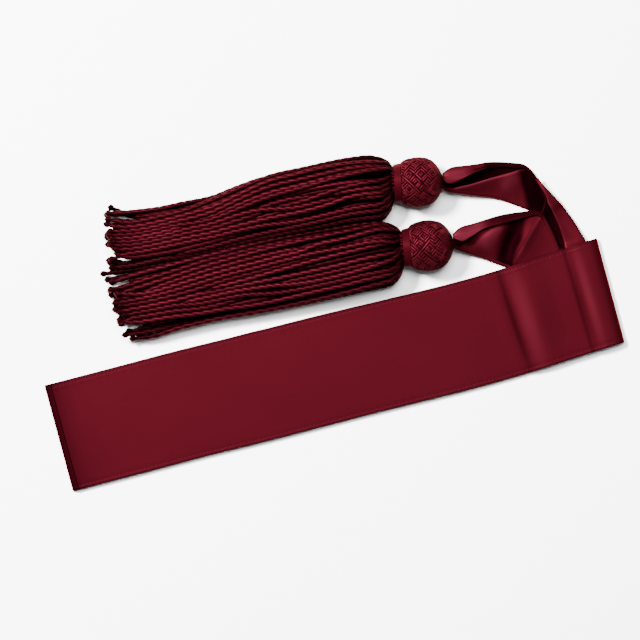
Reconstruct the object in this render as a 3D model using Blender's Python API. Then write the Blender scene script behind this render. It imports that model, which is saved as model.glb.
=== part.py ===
"""Waist sash of crimson satin, folded flat, with two tasselled tails.

The long band lies folded in layers. Its two ends come out from under the top
layer as tails, and each tail is gathered into a knitted ball, a wound binding
and a skirt of cords. Everything lies on the plane z = 0, +Z up, and the origin
is at the bottom centre of the whole. Tables hold millimetres.
"""

import math
import random

import bpy
import bmesh
from mathutils import Vector

MM = 0.001
SMOOTH_ANGLE = math.radians(45)

# Folded band
BAND_LENGTH = 377.0
BAND_WIDTH = 70.0
BAND_CENTRE = (-0.2, -27.2)
BAND_TILT = math.radians(15.1)
BAND_WALL = 1.2
LAYER_GAP = 0.3
HIDDEN_TOP = 3.0
HIDDEN_LAYERS = 3
HIDDEN_END = 2.6
HIDDEN_ROLL = 6.0
HIDDEN_GROOVE = 0.9
HIDDEN_UNDER_INSET = 1.8
HIDDEN_OVER_INSET = 1.6
LEFT_ROLL = 9.0
RIGHT_ROLL = 11.0
# Lines of points across the band and along the hidden layers, as shares of half its size
BAND_LINES = (-1.0, -0.72, -0.36, 0.0, 0.36, 0.72, 1.0)
HIDDEN_LINES = (-0.96, -0.75, -0.5, -0.25, 0.0, 0.25, 0.5, 0.75, 0.96)

# Tails
TAIL_WALL = 1.0
FAR_STRETCH = 1.6
LEAST_FLAP = 0.3
LEAST_SIDE = 0.2
TURN_STEPS = 4
FRONT_STEPS = 4
BOTTOM_STEPS = 5
BACK_STEPS = 3
TAIL_STEPS = {"leg": 15, "strip": 14, "lower": 17}

# Heads and bindings
HEAD_AXIS_HEIGHT = 15.8
BINDING_LENGTH = 5.0
BINDING_RADIUS = 12.6
BINDING_BORE = 10.3
BINDING_EDGE = 0.7
TURNED_SIDES = 24

# Skirts
ROOT_DEPTH = 5.0
STRAND_COLUMNS = 12
STRAND_ROWS = 4
STRAND_STEPS = 10
STRAND_FILL = 0.84
FLARE_POWER = 2.1
DROP_ROWS = 3
SKIRT_CLEARANCE = 0.35
FLOOR_CLEARANCE = 0.4
TIP_SPREAD = 0.2
DRIFT_END = 1.2
STRAND_DRIFT = 0.16
SEEDS = {"upper": 7, "lower": 11}

# Profile of the band's top layer: place along the band, height of the cloth,
# and how far a fold leans along the band for each millimetre across it.
BAND_PROFILE = (
    # along, height, lean
    (-179.5, 4.7, 0.0),
    (-110.0, 4.8, 0.0),
    (-30.0, 4.7, 0.0),
    (50.0, 4.8, 0.01),
    (105.0, 4.7, 0.05),
    (116.5, 4.7, 0.066),
    (119.5, 4.5, 0.066),
    (121.5, 4.6, 0.066),
    (123.3, 5.5, 0.066),
    (125.0, 6.6, 0.066),
    (127.0, 7.3, 0.066),
    (131.0, 7.7, 0.06),
    (137.0, 7.8, 0.05),
    (146.0, 7.5, 0.04),
    (156.0, 7.4, 0.03),
    (163.5, 7.4, 0.02),
    (165.8, 7.2, 0.02),
    (166.9, 6.9, 0.02),
    (168.0, 7.2, 0.02),
    (170.0, 7.8, 0.02),
    (173.5, 8.2, 0.01),
    (177.5, 8.2, 0.0),
)

# Slight bend of the band: place along it, and how far its near and its far edge
# lie from those of a straight band.
BAND_BEND = (
    # along, near, far
    (-188.5, -0.5, 1.6),
    (-140.0, -0.4, 1.6),
    (-100.0, -0.8, 1.3),
    (-60.0, -1.8, 0.6),
    (-20.0, -2.2, -0.2),
    (20.0, -2.8, -1.5),
    (60.0, -3.3, -2.5),
    (95.0, -3.6, -3.1),
    (122.0, -3.2, -2.6),
    (150.0, -1.8, -0.8),
    (188.5, -0.2, 0.9),
)

# Round end of a fold: share of the roll's length, share of the height.
FOLD_END = (
    (0.09, 0.0),
    (0.02, 0.17),
    (0.0, 0.36),
    (0.05, 0.58),
    (0.19, 0.79),
    (0.46, 0.94),
)

# Edges of the hidden layers, from the floor up: how far each lies inside the
# band's own edge, on the near and on the far side.
HIDDEN_EDGES = (
    # near_inset, far_inset
    (1.1, 0.9),
    (0.4, 0.5),
    (0.9, 0.3),
)

# Sections across a tail. low and far are the two long sides as seen from
# above. low_z and far_z are the heights of the bottom layer at these sides,
# and swell is the rise between them. The cloth turns back over itself at both
# sides: low_r and far_r are the radii of the turns, front and back the shares
# of the width that the two flaps reach over, and front_z and back_z how far
# their free edges stand above the bottom layer.
TAIL_COLUMNS = (
    "low_x", "low_y", "far_x", "far_y", "low_z", "far_z", "swell",
    "low_r", "front", "front_z", "far_r", "back", "back_z",
)

UPPER_LEG = (
    (71.0, 88.6, 71.0, 98.8, 13.0, 13.2, 0.0, 1.2, 0.22, 3.4, 1.4, 0.30, 4.4),
    (72.9, 87.4, 73.0, 100.6, 12.2, 12.6, -0.4, 1.2, 0.22, 3.8, 1.8, 0.52, 5.6),
    (76.4, 86.4, 77.4, 102.7, 10.6, 11.2, -0.6, 1.2, 0.22, 4.4, 2.2, 0.62, 6.6),
    (81.8, 85.9, 84.5, 103.6, 8.6, 9.8, -0.6, 1.2, 0.26, 5.0, 2.4, 0.50, 7.0),
    (89.1, 84.9, 92.4, 104.6, 6.6, 8.2, -0.4, 1.2, 0.36, 6.0, 2.4, 0.32, 7.0),
    (95.7, 84.2, 100.6, 106.0, 5.0, 6.6, -0.2, 1.2, 0.50, 7.0, 2.1, 0.20, 4.8),
    (103.6, 83.4, 109.0, 106.2, 3.6, 5.0, 0.0, 1.1, 0.64, 7.2, 1.6, 0.14, 3.3),
    (111.5, 81.2, 117.3, 105.7, 2.6, 3.6, 0.0, 1.0, 0.74, 6.4, 1.3, 0.11, 2.6),
    (119.5, 78.3, 124.9, 104.5, 1.9, 2.4, 0.0, 0.9, 0.80, 5.2, 1.0, 0.09, 2.0),
    (126.6, 75.6, 130.8, 99.0, 1.4, 1.6, 0.0, 0.8, 0.80, 4.4, 1.0, 0.08, 2.0),
    (131.8, 74.6, 134.8, 93.0, 1.0, 1.1, 0.0, 0.8, 0.76, 4.0, 0.9, 0.10, 1.8),
    (136.4, 74.3, 138.2, 88.4, 0.9, 0.9, 0.0, 0.8, 0.70, 3.6, 0.8, 0.12, 1.6),
    (141.0, 75.0, 141.8, 83.2, 0.9, 0.9, 0.0, 0.8, 0.50, 3.0, 0.7, 0.18, 1.4),
)

UPPER_STRIP = (
    (133.4, 96.0, 131.0, 94.4, 6.4, 6.6, 0.0, 0.7, 0.72, 1.4, 0.0, 0.0, 0.0),
    (137.3, 90.8, 134.6, 89.6, 6.2, 6.4, 0.0, 0.7, 0.74, 1.4, 0.0, 0.0, 0.0),
    (142.6, 85.2, 138.4, 82.4, 5.6, 5.8, 0.0, 0.8, 0.80, 1.8, 0.0, 0.0, 0.0),
    (147.2, 80.4, 141.6, 75.4, 4.2, 5.0, 0.0, 1.1, 0.84, 2.8, 0.0, 0.0, 0.0),
    (151.1, 76.0, 137.0, 66.5, 1.4, 1.4, 0.0, 1.4, 0.46, 4.0, 0.0, 0.0, 0.0),
    (157.7, 66.7, 139.0, 58.5, 1.4, 1.2, 0.0, 1.3, 0.51, 3.6, 0.0, 0.0, 0.0),
    (162.4, 59.0, 145.6, 52.6, 2.6, 1.3, 0.0, 1.0, 0.68, 2.6, 0.0, 0.0, 0.0),
    (165.2, 53.6, 150.6, 48.2, 3.8, 4.0, 0.0, 0.65, 0.86, 1.3, 0.0, 0.0, 0.0),
    (169.0, 43.0, 155.6, 39.2, 3.8, 3.8, 0.0, 0.65, 0.90, 1.3, 0.0, 0.0, 0.0),
    (176.0, 14.0, 163.4, 10.6, 3.8, 3.8, 0.0, 0.65, 0.90, 1.3, 0.0, 0.0, 0.0),
    (183.4, -12.0, 170.6, -15.4, 3.8, 3.8, 0.0, 0.65, 0.90, 1.3, 0.0, 0.0, 0.0),
)

LOWER_TAIL = (
    (78.2, 49.4, 78.0, 59.2, 13.2, 13.4, 0.0, 1.2, 0.16, 2.6, 1.4, 0.30, 4.0),
    (80.4, 48.8, 79.8, 61.2, 12.0, 12.4, -0.3, 1.1, 0.16, 2.6, 1.8, 0.48, 5.4),
    (84.0, 47.5, 83.6, 63.6, 9.8, 11.0, -0.5, 1.0, 0.14, 2.4, 2.2, 0.60, 6.4),
    (89.1, 46.0, 90.4, 65.5, 7.0, 9.0, 0.0, 0.9, 0.08, 1.9, 2.3, 0.42, 6.4),
    (95.7, 44.0, 98.3, 68.0, 4.8, 7.4, 1.4, 0.9, 0.05, 1.9, 2.1, 0.24, 5.4),
    (103.0, 41.2, 109.6, 71.3, 3.6, 6.0, 1.6, 0.9, 0.05, 1.9, 1.7, 0.20, 4.2),
    (109.6, 38.8, 122.1, 73.3, 3.8, 5.4, -0.8, 0.8, 0.04, 1.6, 1.3, 0.14, 3.0),
    (115.2, 36.4, 134.6, 74.0, 3.8, 5.2, 2.0, 0.7, 0.04, 1.4, 0.9, 0.08, 1.8),
    (118.8, 33.0, 139.8, 66.9, 3.8, 4.6, 1.0, 0.7, 0.05, 1.4, 0.7, 0.06, 1.4),
    (121.6, 28.6, 144.3, 57.8, 3.8, 4.2, 0.2, 0.65, 0.20, 1.3, 0.65, 0.05, 1.3),
    (123.6, 22.6, 148.6, 47.6, 3.8, 3.8, 0.0, 0.65, 0.50, 1.3, 0.65, 0.05, 1.3),
    (125.4, 16.0, 153.2, 37.6, 3.8, 3.8, 0.0, 0.65, 0.62, 1.3, 0.65, 0.05, 1.3),
    (129.6, 2.0, 161.6, 12.0, 3.8, 3.8, 0.0, 0.65, 0.66, 1.3, 0.65, 0.05, 1.3),
    (137.6, -24.6, 168.8, -16.4, 3.8, 3.8, 0.0, 0.65, 0.66, 1.3, 0.65, 0.05, 1.3),
)

# Outline of a knitted ball, turned about its axis: place along it, radius.
HEAD_PROFILE = (
    # along, radius
    (0.0, 12.4),
    (1.0, 13.7),
    (3.4, 14.9),
    (7.6, 15.8),
    (12.4, 16.0),
    (17.0, 15.2),
    (21.0, 12.9),
    (24.0, 9.4),
    (25.9, 5.8),
    (26.5, 4.4),
)
HEAD_PROFILE_LENGTH = 26.5

# Upper and lower tassel: where the ball starts and ends, and its size.
TASSELS = {
    "upper": {"start": (43.6, 92.4), "end": (70.2, 93.7), "scale": 1.0},
    "lower": {"start": (49.5, 50.1), "end": (77.3, 52.9), "scale": 1.02},
}

# Sections of a skirt at right angles to X: centre, half width, half height,
# and how far the section leans along X for each millimetre across.
SKIRT_SECTIONS = {
    "upper": (
        # x, y, half_width, half_height, lean
        (37.9, 92.1, 9.7, 9.7, -0.05),
        (36.9, 91.8, 12.8, 12.4, -0.05),
        (34.2, 90.2, 17.4, 14.6, -0.05),
        (30.4, 88.8, 20.4, 15.4, -0.04),
        (25.7, 88.4, 21.6, 15.4, -0.03),
        (20.5, 88.4, 22.1, 15.0, 0.0),
        (4.6, 86.5, 22.1, 13.8, 0.0),
        (-23.1, 81.2, 21.4, 11.8, 0.0),
        (-43.6, 77.0, 21.1, 10.5, 0.0),
        (-64.7, 71.0, 19.8, 9.5, 0.0),
        (-81.2, 65.7, 18.6, 9.0, 0.0),
        (-99.0, 61.8, 18.8, 8.4, 0.0),
        (-120.1, 57.5, 18.9, 7.9, -0.05),
        (-134.0, 55.6, 19.6, 7.6, -0.1),
        (-150.0, 55.8, 20.6, 7.4, -0.14),
    ),
    "lower": (
        (43.9, 49.5, 9.7, 9.7, -0.1),
        (42.9, 49.2, 12.8, 12.4, -0.1),
        (40.2, 47.0, 17.4, 14.6, -0.09),
        (36.3, 45.8, 20.0, 15.4, -0.07),
        (29.7, 45.3, 22.0, 15.4, -0.04),
        (19.1, 43.8, 22.9, 14.8, 0.0),
        (4.6, 41.0, 23.4, 13.6, 0.0),
        (-23.1, 35.7, 24.1, 11.6, 0.0),
        (-50.8, 30.3, 23.9, 10.1, 0.0),
        (-78.5, 24.4, 22.9, 9.1, 0.0),
        (-106.3, 18.1, 22.9, 8.4, -0.1),
        (-128.7, 13.3, 23.4, 7.7, -0.3),
        (-145.5, 11.0, 22.6, 7.4, -0.36),
    ),
}

# Finishes: colour, roughness, metallic
FINISHES = {
    "satin": ((0.135, 0.008, 0.017), 0.42, 0.0),
    "satin_layers": ((0.105, 0.006, 0.013), 0.5, 0.0),
    "cord": ((0.15, 0.006, 0.018), 0.55, 0.0),
    "knit": ((0.12, 0.006, 0.015), 0.6, 0.0),
    "binding": ((0.13, 0.007, 0.016), 0.4, 0.0),
}


def clear_scene():
    """Remove whatever the scene holds."""
    for obj in list(bpy.data.objects):
        bpy.data.objects.remove(obj, do_unlink=True)


def material(name):
    """A Principled material with the colour and gloss of one finish."""
    found = bpy.data.materials.get(name)
    if found:
        return found
    colour, roughness, metallic = FINISHES[name]
    made = bpy.data.materials.new(name)
    made.use_nodes = True
    shader = made.node_tree.nodes["Principled BSDF"]
    shader.inputs["Base Color"].default_value = (*colour, 1.0)
    shader.inputs["Roughness"].default_value = roughness
    shader.inputs["Metallic"].default_value = metallic
    return made


def add_object(name, points, faces, finish):
    """One named object from points in millimetres, with its normals set outwards."""
    mesh = bpy.data.meshes.new(name)
    mesh.from_pydata([Vector(p) * MM for p in points], [], faces)
    work = bmesh.new()
    work.from_mesh(mesh)
    bmesh.ops.recalc_face_normals(work, faces=work.faces)
    bmesh.ops.triangulate(work, faces=work.faces)
    work.to_mesh(mesh)
    work.free()
    return finish_object(name, mesh, finish)


def finish_object(name, mesh, finish):
    """An object of a finished mesh, in its material and shaded smooth."""
    mesh.materials.append(material(finish))
    mesh.shade_smooth()
    mesh.set_sharp_from_angle(angle=SMOOTH_ANGLE)
    made = bpy.data.objects.new(name, mesh)
    bpy.context.scene.collection.objects.link(made)
    return made


def curve_value(rows, place):
    """Row of a table at a place between 0 and its last index, on a smooth curve."""
    last = len(rows) - 1
    index = min(int(place), last - 1)
    t = place - index
    before = rows[max(index - 1, 0)]
    start = rows[index]
    end = rows[index + 1]
    after = rows[min(index + 2, last)]
    return tuple(
        b + 0.5 * t * (c - a + t * (2 * a - 5 * b + 4 * c - d + t * (3 * (b - c) + d - a)))
        for a, b, c, d in zip(before, start, end, after)
    )


def grid_faces(rows, columns, offset=0):
    """Quads between the points of a grid that is stored row by row."""
    return [
        (offset + r * columns + c, offset + r * columns + c + 1,
         offset + (r + 1) * columns + c + 1, offset + (r + 1) * columns + c)
        for r in range(rows - 1)
        for c in range(columns - 1)
    ]


def rim_faces(rows, columns, offset):
    """Quads that join the border of one grid to the border of a second one."""
    border = [c for c in range(columns)]
    border += [r * columns + columns - 1 for r in range(1, rows)]
    border += [(rows - 1) * columns + c for c in range(columns - 2, -1, -1)]
    border += [r * columns for r in range(rows - 2, 0, -1)]
    return [
        (a, b, offset + b, offset + a)
        for a, b in zip(border, border[1:] + border[:1])
    ]


def wall(name, outer, inner, finish):
    """A closed wall of cloth between two grids of points."""
    rows = len(outer)
    columns = len(outer[0])
    count = rows * columns
    points = [p for row in outer for p in row] + [p for row in inner for p in row]
    faces = grid_faces(rows, columns)
    faces += [tuple(reversed(f)) for f in grid_faces(rows, columns, count)]
    faces += rim_faces(rows, columns, count)
    return add_object(name, points, faces, finish)


def sheet_wall(name, middle, thickness, finish):
    """A closed wall, half its thickness to either side of a grid of points."""
    rows = len(middle)
    columns = len(middle[0])
    outer = []
    inner = []
    for r in range(rows):
        outer.append([])
        inner.append([])
        for c in range(columns):
            along = middle[min(r + 1, rows - 1)][c] - middle[max(r - 1, 0)][c]
            across = middle[r][min(c + 1, columns - 1)] - middle[r][max(c - 1, 0)]
            shift = along.cross(across).normalized() * thickness / 2
            outer[r].append(middle[r][c] + shift)
            inner[r].append(middle[r][c] - shift)
    return wall(name, outer, inner, finish)


def bent(along, across):
    """Place across the bent band of a point of the straight one."""
    index = 0
    while index < len(BAND_BEND) - 2 and BAND_BEND[index + 1][0] < along:
        index += 1
    start = BAND_BEND[index][0]
    share = (along - start) / (BAND_BEND[index + 1][0] - start)
    near, far = curve_value(BAND_BEND, index + min(max(share, 0.0), 1.0))[1:]
    return across + (near + far) / 2 + (far - near) * across / BAND_WIDTH


def on_band(along, across, height):
    """Point of the whole from its place along and across the tilted band."""
    across = bent(along, across)
    return Vector((
        BAND_CENTRE[0] + along * math.cos(BAND_TILT) - across * math.sin(BAND_TILT),
        BAND_CENTRE[1] + along * math.sin(BAND_TILT) + across * math.cos(BAND_TILT),
        height,
    ))


def band_rows(inset):
    """Lengthwise rows of a band layer that lies so far inside the outer surface."""
    half = BAND_LENGTH / 2 - inset
    left_height = BAND_PROFILE[0][1] - inset
    right_height = BAND_PROFILE[-1][1] - inset
    rows = [(inset_x - half, share * left_height, 0.0)
            for inset_x, share in fold_end(LEFT_ROLL - inset)]
    rows += [(along, height - inset, lean) for along, height, lean in BAND_PROFILE]
    rows += [(half - inset_x, share * right_height, 0.0)
             for inset_x, share in reversed(fold_end(RIGHT_ROLL - inset))]
    return rows


def fold_end(roll):
    """Places of a fold's round end, from its tip inwards."""
    return [(share_along * roll, share_up) for share_along, share_up in FOLD_END]


def build_band_top():
    """Top layer: it rolls down at both ends and rises over the two tails."""
    lines = [share * BAND_WIDTH / 2 for share in BAND_LINES]
    surfaces = [
        [[on_band(along - lean * across, across, height) for across in lines]
         for along, height, lean in band_rows(inset)]
        for inset in (0.0, BAND_WALL)
    ]
    return wall("band_top", surfaces[0], surfaces[1], "satin")


def hidden_section():
    """Layered outline of the hidden layers: across, share of their height."""
    half = BAND_WIDTH / 2
    step = 1.0 / HIDDEN_LAYERS
    near = []
    far = []
    for layer, (near_inset, far_inset) in enumerate(HIDDEN_EDGES):
        middle = (layer + 0.5) * step
        near.append((-half + near_inset, middle))
        far.append((half - far_inset, middle))
        if layer < HIDDEN_LAYERS - 1:
            near.append((-half + near_inset + HIDDEN_GROOVE, (layer + 1) * step))
            far.append((half - far_inset - HIDDEN_GROOVE, (layer + 1) * step))
    under = half - HIDDEN_UNDER_INSET
    over = half - HIDDEN_OVER_INSET
    bottom = [(-under, 0.0), (under, 0.0)]
    top = [(over, 1.0), (0.0, 1.0), (-over, 1.0)]
    return bottom + far + top + list(reversed(near))


def build_band_under():
    """Hidden layers as one rounded solid, layered at its long edges."""
    half = BAND_LENGTH / 2 - HIDDEN_END
    ends = [(along, share * HIDDEN_TOP) for along, share in fold_end(HIDDEN_ROLL)[2:]]
    places = [(along - half, height) for along, height in ends]
    places += [(share * half, HIDDEN_TOP) for share in HIDDEN_LINES]
    places += [(half - along, height) for along, height in reversed(ends)]
    section = hidden_section()
    count = len(section)
    points = [on_band(along, across, share * height)
              for along, height in places for across, share in section]
    faces = [
        (r * count + c, r * count + (c + 1) % count,
         (r + 1) * count + (c + 1) % count, (r + 1) * count + c)
        for r in range(len(places) - 1)
        for c in range(count)
    ]
    faces.append(tuple(range(count)))
    faces.append(tuple((len(places) - 1) * count + c for c in range(count)))
    return add_object("band_under", points, faces, "satin_layers")


def turn_points(centre, half_width, half_height, first, last):
    """Points of a turn in the plane across a tail, between two angles in degrees."""
    points = []
    for i in range(TURN_STEPS + 1):
        angle = math.radians(first + (last - first) * i / TURN_STEPS)
        points.append((centre[0] + half_width * math.cos(angle),
                       centre[1] + half_height * math.sin(angle)))
    return points


def eased(share):
    """Share from 0 to 1 that starts and ends gently."""
    return share * share * (3 - 2 * share)


def tail_section(row):
    """Points of one section of a tail, from the front flap's edge round to the back's."""
    value = dict(zip(TAIL_COLUMNS, row))
    low = Vector((value["low_x"], value["low_y"], 0.0))
    far = Vector((value["far_x"], value["far_y"], 0.0))
    across = far - low
    width = across.length
    across.normalize()
    low_r = value["low_r"]
    far_r = value["far_r"]
    front_x = value["front"] * width
    reach = far_r * FAR_STRETCH
    side_x = width - max(reach, LEAST_SIDE)
    path = []
    for i in range(FRONT_STEPS):
        t = 1 - i / FRONT_STEPS
        path.append((low_r + (front_x - low_r) * t,
                     2 * low_r + (value["front_z"] - 2 * low_r) * eased(t)))
    path += turn_points((low_r, low_r), low_r, low_r, 90, 270)
    for i in range(1, BOTTOM_STEPS):
        t = i / BOTTOM_STEPS
        path.append((low_r + (side_x - low_r) * t, value["swell"] * math.sin(math.pi * t)))
    if far_r > 0:
        path += turn_points((width - reach, far_r), reach, far_r, -90, 90)
        back_x = width - max(value["back"] * width, reach + LEAST_FLAP)
        for i in range(1, BACK_STEPS + 1):
            t = i / BACK_STEPS
            path.append((width - reach + (back_x - width + reach) * t,
                         2 * far_r + (value["back_z"] - 2 * far_r) * eased(t)))
    else:
        path.append((width, 0.0))
    points = []
    for x, z in path:
        share = min(max(x / width, 0.0), 1.0)
        floor = value["low_z"] + (value["far_z"] - value["low_z"]) * share
        points.append(low + across * x + Vector((0.0, 0.0, floor + z)))
    return points


def build_tail(name, rows, steps):
    """One stretch of a tail: a wall of cloth through its smoothed sections."""
    last = len(rows) - 1
    middle = [tail_section(curve_value(rows, last * i / steps)) for i in range(steps + 1)]
    return sheet_wall(name, middle, TAIL_WALL, "satin")


def tassel_axis(place):
    """Start, direction and side of a tassel's ball, on its axis."""
    start = Vector((*place["start"], HEAD_AXIS_HEIGHT))
    end = Vector((*place["end"], HEAD_AXIS_HEIGHT))
    direction = (end - start).normalized()
    side = Vector((-direction.y, direction.x, 0.0))
    return start, direction, side


def turned_ring(start, direction, side, along, radius):
    """One ring of a turned piece, with a point straight below its axis."""
    points = []
    for i in range(TURNED_SIDES):
        angle = 2 * math.pi * i / TURNED_SIDES
        spoke = side * math.sin(angle) - Vector((0.0, 0.0, math.cos(angle)))
        points.append(start + direction * along + spoke * radius)
    return points


def build_head(name, place):
    """Ball of a tassel, turned about its axis and flat where it rests."""
    start, direction, side = tassel_axis(place)
    size = (Vector(place["end"]) - Vector(place["start"])).length / HEAD_PROFILE_LENGTH
    rings = [turned_ring(start, direction, side, along * size, radius * place["scale"])
             for along, radius in HEAD_PROFILE]
    points = [p for ring in rings for p in ring]
    for point in points:
        point.z = max(point.z, 0.0)
    count = TURNED_SIDES
    faces = [
        (r * count + c, r * count + (c + 1) % count,
         (r + 1) * count + (c + 1) % count, (r + 1) * count + c)
        for r in range(len(rings) - 1)
        for c in range(count)
    ]
    faces.append(tuple(range(count)))
    faces.append(tuple((len(rings) - 1) * count + c for c in range(count)))
    return add_object(name, points, faces, "knit")


def build_binding(name, place):
    """Wound binding: a ring round the roots of the skirt, beside the ball."""
    start, direction, side = tassel_axis(place)
    near = -LAYER_GAP
    far = near - BINDING_LENGTH
    profile = (
        (near, BINDING_BORE),
        (near, BINDING_RADIUS - BINDING_EDGE),
        (near - BINDING_EDGE, BINDING_RADIUS),
        (far + BINDING_EDGE, BINDING_RADIUS),
        (far, BINDING_RADIUS - BINDING_EDGE),
        (far, BINDING_BORE),
    )
    rings = [turned_ring(start, direction, side, along, radius) for along, radius in profile]
    points = [p for ring in rings for p in ring]
    count = TURNED_SIDES
    faces = [
        (r * count + c, r * count + (c + 1) % count,
         (r + 1) % len(rings) * count + (c + 1) % count, (r + 1) % len(rings) * count + c)
        for r in range(len(rings))
        for c in range(count)
    ]
    return add_object(name, points, faces, "binding")


def skirt_point(rows, place, x, y):
    """Point of a skirt from its place along it and in the unit square across it."""
    centre_x, centre_y, half_width, half_height, lean = curve_value(rows, place)
    half_width -= SKIRT_CLEARANCE * min(place, 1.0)
    across = x * math.sqrt(1 - y * y / 2) * half_width
    up = y * math.sqrt(1 - x * x / 2) * half_height
    axis_height = HEAD_AXIS_HEIGHT * max(1 - place / DROP_ROWS, 0.0)
    height = max(half_height + FLOOR_CLEARANCE, axis_height)
    return Vector((centre_x + lean * across, centre_y + across, height + up))


def skirt_place(rows, share):
    """Place in a skirt's table at a share of its length."""
    lengths = [0.0]
    for a, b in zip(rows, rows[1:]):
        lengths.append(lengths[-1] + math.hypot(b[0] - a[0], b[1] - a[1]))
    target = share * lengths[-1]
    for i in range(len(rows) - 2):
        if target <= lengths[i + 1]:
            return i + (target - lengths[i]) / (lengths[i + 1] - lengths[i])
    last = len(rows) - 2
    return last + min((target - lengths[last]) / (lengths[-1] - lengths[last]), 1.0)


def strand_sides(count):
    """Sides of evenly spaced strands from -1 to 1, two for each strand."""
    pitch = 2 / (count - 1 + STRAND_FILL)
    sides = []
    for strand in range(count):
        sides.append(-1 + pitch * strand)
        sides.append(-1 + pitch * (strand + STRAND_FILL))
    return sides


def build_skirt(name, rows, place, seed):
    """Skirt of a tassel: strands that grow out of one root plug."""
    rng = random.Random(seed)
    xs = strand_sides(STRAND_COLUMNS)
    ys = strand_sides(STRAND_ROWS)
    columns = len(xs)
    lines = len(ys)
    work = bmesh.new()
    front = [[work.verts.new(skirt_point(rows, 0.0, x, y)) for x in xs] for y in ys]
    for j in range(lines - 1):
        for i in range(columns - 1):
            corners = [front[j][i], front[j][i + 1], front[j + 1][i + 1], front[j + 1][i]]
            if i % 2 or j % 2:
                work.faces.new(corners)
            else:
                drift = STRAND_DRIFT * (-1 if j % 4 else 1)
                add_strand(work, rows, corners, xs[i:i + 2], ys[j:j + 2], drift, rng)
    border = front[0] + [front[j][-1] for j in range(1, lines)]
    border += front[-1][-2::-1] + [front[j][0] for j in range(lines - 2, 0, -1)]
    direction = tassel_axis(place)[1]
    back = [work.verts.new(v.co + direction * ROOT_DEPTH) for v in border]
    for i in range(len(border)):
        j = (i + 1) % len(border)
        work.faces.new((border[i], border[j], back[j], back[i]))
    work.faces.new(back)
    bmesh.ops.recalc_face_normals(work, faces=work.faces)
    bmesh.ops.triangulate(work, faces=work.faces)
    bmesh.ops.scale(work, vec=(MM, MM, MM), verts=work.verts)
    mesh = bpy.data.meshes.new(name)
    work.to_mesh(mesh)
    work.free()
    return finish_object(name, mesh, "cord")


def strand_ring(rows, share, xs, ys, drift):
    """Corners of a strand at a share of the skirt's length."""
    place = skirt_place(rows, share)
    shift = drift * math.sin(math.pi * min(share * DRIFT_END, 1.0))
    return [
        skirt_point(rows, place, x + shift * (1 - x * x), y)
        for x, y in ((xs[0], ys[0]), (xs[1], ys[0]), (xs[1], ys[1]), (xs[0], ys[1]))
    ]


def add_strand(work, rows, root, xs, ys, drift, rng):
    """One strand, from its corners on the root plug out to its own tip."""
    rings = [
        strand_ring(rows, (step / STRAND_STEPS) ** FLARE_POWER, xs, ys, drift)
        for step in range(1, STRAND_STEPS + 1)
    ]
    cut_back = TIP_SPREAD * rng.random()
    rings[-1] = [tip.lerp(before, cut_back) for tip, before in zip(rings[-1], rings[-2])]
    previous = root
    for ring in rings:
        corners = [work.verts.new(point) for point in ring]
        for i in range(4):
            j = (i + 1) % 4
            work.faces.new((previous[i], previous[j], corners[j], corners[i]))
        previous = corners
    work.faces.new(previous)


def main():
    """Build every piece of the sash."""
    clear_scene()
    build_band_under()
    build_band_top()
    build_tail("tail_upper_leg", UPPER_LEG, TAIL_STEPS["leg"])
    build_tail("tail_upper_strip", UPPER_STRIP, TAIL_STEPS["strip"])
    build_tail("tail_lower", LOWER_TAIL, TAIL_STEPS["lower"])
    for side, place in TASSELS.items():
        build_head(f"head_{side}", place)
        build_binding(f"binding_{side}", place)
        build_skirt(f"skirt_{side}", SKIRT_SECTIONS[side], place, SEEDS[side])


main()
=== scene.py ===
"""Looks of a crimson satin waist sash that lies folded flat, with two tasselled tails.

Tables and fields hold millimetres, in the frame of the solids: +X runs from the
tassels' tips towards the folded tails, +Y from the band towards the tassels, and
+Z up from the surface that the sash lies on. Meshes are made in metres.
"""

import logging
import math
from dataclasses import dataclass, field
from enum import Enum

import bpy
import numpy as np
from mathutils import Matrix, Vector


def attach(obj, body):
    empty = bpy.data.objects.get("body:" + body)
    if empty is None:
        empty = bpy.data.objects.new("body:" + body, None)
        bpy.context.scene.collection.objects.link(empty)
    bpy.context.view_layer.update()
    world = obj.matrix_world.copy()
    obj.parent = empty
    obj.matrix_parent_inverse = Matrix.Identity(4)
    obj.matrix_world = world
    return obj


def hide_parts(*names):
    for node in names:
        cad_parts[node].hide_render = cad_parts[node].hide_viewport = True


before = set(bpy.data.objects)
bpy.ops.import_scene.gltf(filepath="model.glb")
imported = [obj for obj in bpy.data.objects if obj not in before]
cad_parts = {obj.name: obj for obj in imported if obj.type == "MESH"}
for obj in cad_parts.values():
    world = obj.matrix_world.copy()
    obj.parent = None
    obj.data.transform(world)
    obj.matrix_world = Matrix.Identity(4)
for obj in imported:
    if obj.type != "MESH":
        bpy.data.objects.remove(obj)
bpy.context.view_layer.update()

MM = 0.001
BODY = "root"
CLOTH_UV = "cloth"
# Point attributes: painted shade and tone of the threads, and painted shade of the satin, with painted
# highlights below 0.
SHADE = "shade"
PAINTED_SHADE = "depth"
LOG = logging.getLogger("waist_sash")

Colour = tuple[float, float, float]
Place = tuple[float, float]
Spot = tuple[float, float, float]

UP = np.array([0.0, 0.0, 1.0])
# Shortest vector that still gives a direction.
SHORTEST = 1e-9
# Distance within which two points are made one.
MERGE = 0.005 * MM
# Steps that a smooth curve takes for each row of its table.
CURVE_STEPS = 40
# Range of a wave's random start, in radians: about a full turn.
ANY_START = 6.0
# Height of the tassels' axes.
AXIS_HEIGHT = 15.8
# Tint of the light that glances off the threads.
EDGE_TINT = (1.0, 0.3, 0.4, 1.0)

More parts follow.
